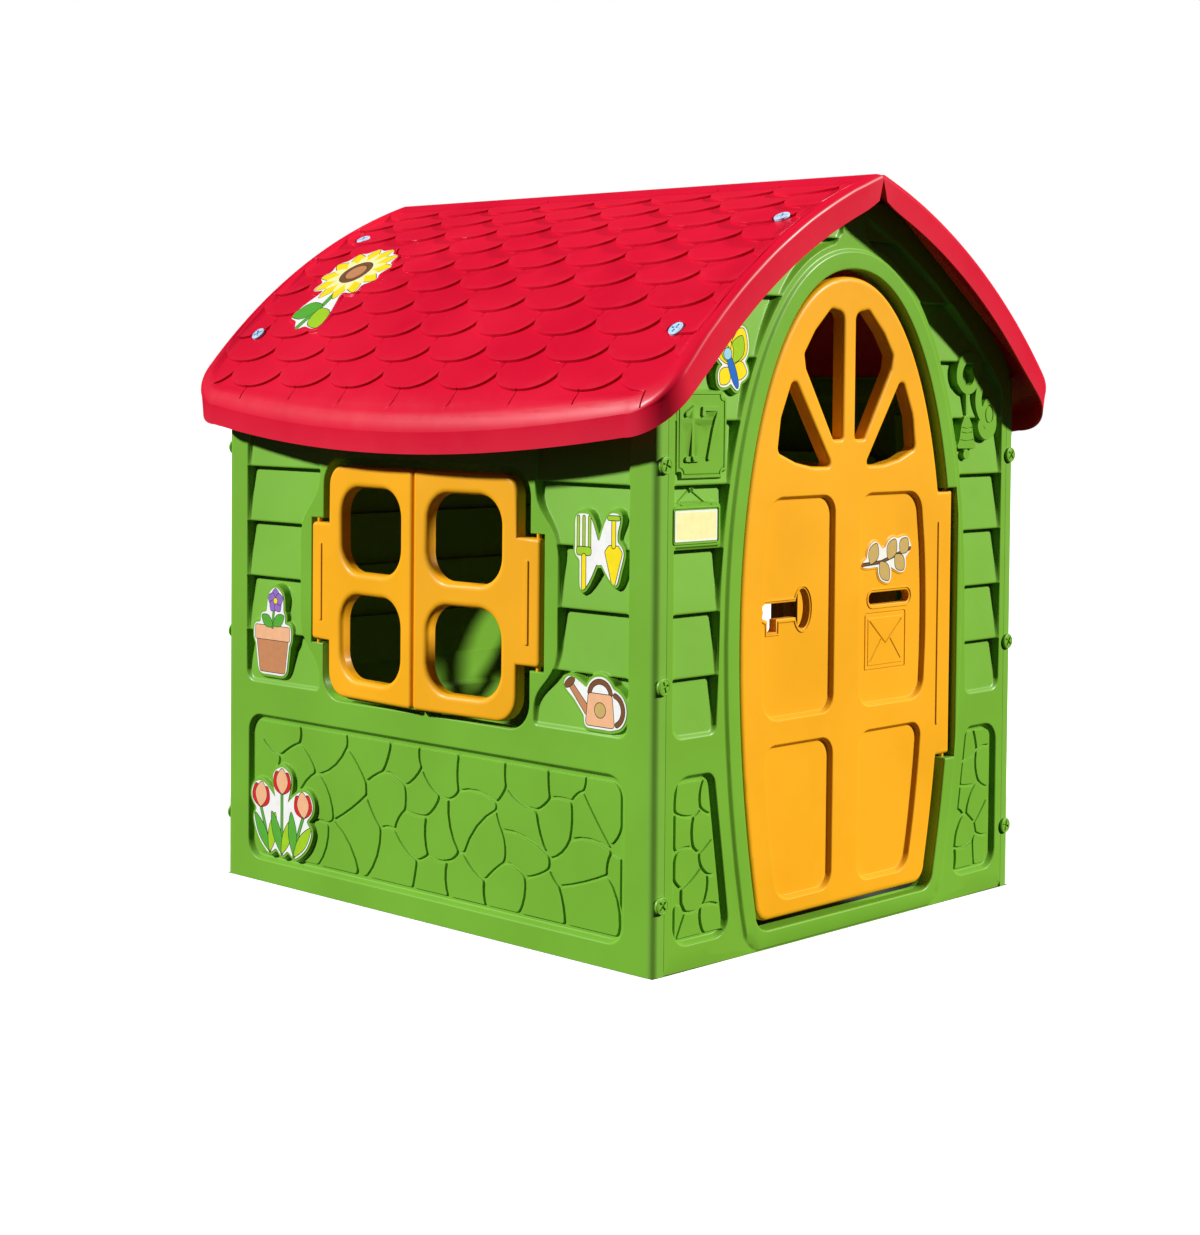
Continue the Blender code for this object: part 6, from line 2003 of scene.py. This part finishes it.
# ================================================================ camera, light and floor
def build_camera():
    forward = Vector(CAMERA_FORWARD).normalized()
    level = forward.cross(Vector((0.0, 0.0, 1.0))).normalized()
    above = level.cross(forward)
    right = math.cos(CAMERA_ROLL) * level + math.sin(CAMERA_ROLL) * above
    up = right.cross(forward)
    turn = Matrix((right, up, -forward)).transposed().to_4x4()
    data = bpy.data.cameras.new("camera")
    data.sensor_width = 36.0
    data.lens = CAMERA_LENS
    data.shift_y = CAMERA_SHIFT_Y
    camera = bpy.data.objects.new("camera", data)
    camera.matrix_world = Matrix.Translation(CAMERA_AT) @ turn
    bpy.context.scene.collection.objects.link(camera)
    bpy.context.scene.camera = camera


def add_sun(name, from_direction, strength, spread, tint):
    data = bpy.data.lights.new(name, "SUN")
    data.energy = strength
    data.angle = math.radians(spread)
    data.color = tint
    lamp = bpy.data.objects.new(name, data)
    lamp.rotation_euler = Vector(from_direction).to_track_quat("Z", "Y").to_euler()
    bpy.context.scene.collection.objects.link(lamp)


def build_lights():
    world = bpy.data.worlds.new("studio")
    world.use_nodes = True
    nodes = world.node_tree.nodes
    links = world.node_tree.links
    background = nodes["Background"]
    set_sockets(background, Color=WHITE, Strength=WORLD_LIGHT)
    seen = add_node(world.node_tree, "Background", Color=WHITE, Strength=1.0)
    path = add_node(world.node_tree, "LightPath")
    mix = add_node(world.node_tree, "MixShader")
    links.new(path.outputs["Is Camera Ray"], mix.inputs[0])
    links.new(background.outputs[0], mix.inputs[1])
    links.new(seen.outputs[0], mix.inputs[2])
    links.new(mix.outputs[0], nodes["World Output"].inputs["Surface"])
    bpy.context.scene.world = world
    add_sun("key", *KEY_LIGHT)
    add_sun("side", *SIDE_LIGHT)


def floor_material(name, shade, glow):
    material, _, shader = new_material(name)
    set_sockets(shader, Base_Color=(shade, shade, shade, 1.0), Roughness=0.85, Specular_IOR_Level=0.1,
                Emission_Color=WHITE, Emission_Strength=glow)
    return material


def build_floor():
    """A pale floor that glows faintly outside the house, with painted shade inside it: the square under the
    house is painted dark.
    """
    across_x = (-FLOOR_REACH, -HALF_WIDTH, HALF_WIDTH, FLOOR_REACH)
    across_y = (-FLOOR_REACH, -HALF_DEPTH, HALF_DEPTH, FLOOR_REACH)
    corners = [(x, y, -0.0005) for y in across_y for x in across_x]
    faces = [(4 * j + i, 4 * j + i + 1, 4 * j + i + 5, 4 * j + i + 4) for j in range(3) for i in range(3)]
    mesh = bpy.data.meshes.new("floor")
    mesh.from_pydata(corners, [], faces)
    mesh.materials.append(floor_material("pale_floor", 0.90, 0.40))
    mesh.materials.append(floor_material("shaded_floor", 0.10, 0.0))
    mesh.polygons[4].material_index = 1      # the middle square, under the house, painted dark as painted shade
    floor = bpy.data.objects.new("floor", mesh)
    bpy.context.scene.collection.objects.link(floor)
    floor.visible_diffuse = False
    floor.visible_glossy = False


# ================================================================ assembly
def build_house():
    """Every piece, in the order of the random draws that turn the screws."""
    green = plastic("green_plastic", GREEN)
    red = plastic("red_plastic", RED, roughness=0.36, wear_and_highlight=0.12, shine=0.17)
    yellow = plastic("yellow_plastic", YELLOW, roughness=0.44, wear_and_highlight=0.06)
    pale_blue = plastic("pale_blue_plastic", SCREW_BLUE, roughness=0.38)
    inks = {name: printed_ink(name, colour) for name, colour in INKS.items()}

    opening = arch_loop(0.0, NOTCH_X, NOTCH_Z)
    gable_wall("front_wall_shell", "front_wall", front_place, [opening], front_features(), True,
               green)
    back_features = [Planks(back_pocket())] + stone_wall(*BACK_STONES, 31)
    gable_wall("back_wall_shell", "back_wall", back_place, [], back_features, False,
               green)
    window_wall("left_wall_shell", "left_wall", left_place, side_features(True, 5), green)
    window_wall("right_wall_shell", "right_wall", right_place, side_features(False, 8), green)
    build_roof("roof_left", -1.0, red, ROOF_FLOWER)
    build_roof("roof_right", 1.0, red, None)
    build_door(yellow)
    for wall, turn in (("left", 1.0), ("right", -1.0)):
        for hand, side in (("a", 1.0), ("b", -1.0)):
            build_shutter(f"{wall}_shutter_{hand}", turn, side, yellow)

    spins = random.Random(4)
    for x in (-CORNER_SCREW_X, CORNER_SCREW_X):
        for end, label in ((-1.0, "front"), (1.0, "back")):
            for level, z in enumerate(CORNER_SCREW_Z):
                hand = "left" if x < 0.0 else "right"
                node = f"corner_screw_{label}_{hand}_{level + 1}"
                build_screw(node, (x, end * (HALF_DEPTH + GAP), z), (0.0, end, 0.0),
                            spins.uniform(0.0, math.pi), green)
    for turn, hand in ((-1.0, "left"), (1.0, "right")):
        for number, (s, y) in enumerate(roof_screw_spots()):
            slope = float(roof_slope(s))
            out = Vector((turn * math.sin(slope), 0.0, math.cos(slope)))
            x, z = roof_point(s, -ROOF_FIELD_DROP - ROOF_DIMPLE + GAP)
            seat = (turn * float(x), turn * y, float(z))
            build_screw(f"roof_screw_{hand}_{number + 1}", seat, out, spins.uniform(0.0, math.pi),
                        pale_blue)

    for name, entry in SIDE_STICKERS.items():
        build_sticker(name + "_print", "sticker_" + name, entry, 0.0, left_place, inks)
    build_sticker("butterfly_print", "sticker_butterfly", BUTTERFLY, 0.0, front_place, inks)
    u0, v0, u1, v1 = LABEL_BOX
    label = (label_art, (u0 + u1) / 2.0, (v0 + v1) / 2.0, 0.0, 1.0)
    build_sticker("label_print", "sticker_label", label, 0.0, front_place, inks,
                  plate=box_loop(u0, v0, u1, v1, 0.002, 3))
    pad = -DOOR_SET_BACK - PANEL_DEPTH + 0.001
    build_sticker("leaf_print", "sticker_leaf", DOOR_LEAF, pad, front_place, inks, "door")
    build_sticker("sunflower_print", "sticker_sunflower", ROOF_FLOWER, -ROOF_FIELD_DROP + ROOF_PAD,
                  roof_place(-1.0), inks, bend=roof_bends)


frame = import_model()
build_camera()
build_lights()
build_floor()
build_house()
bpy.context.scene.view_settings.view_transform = "Standard"
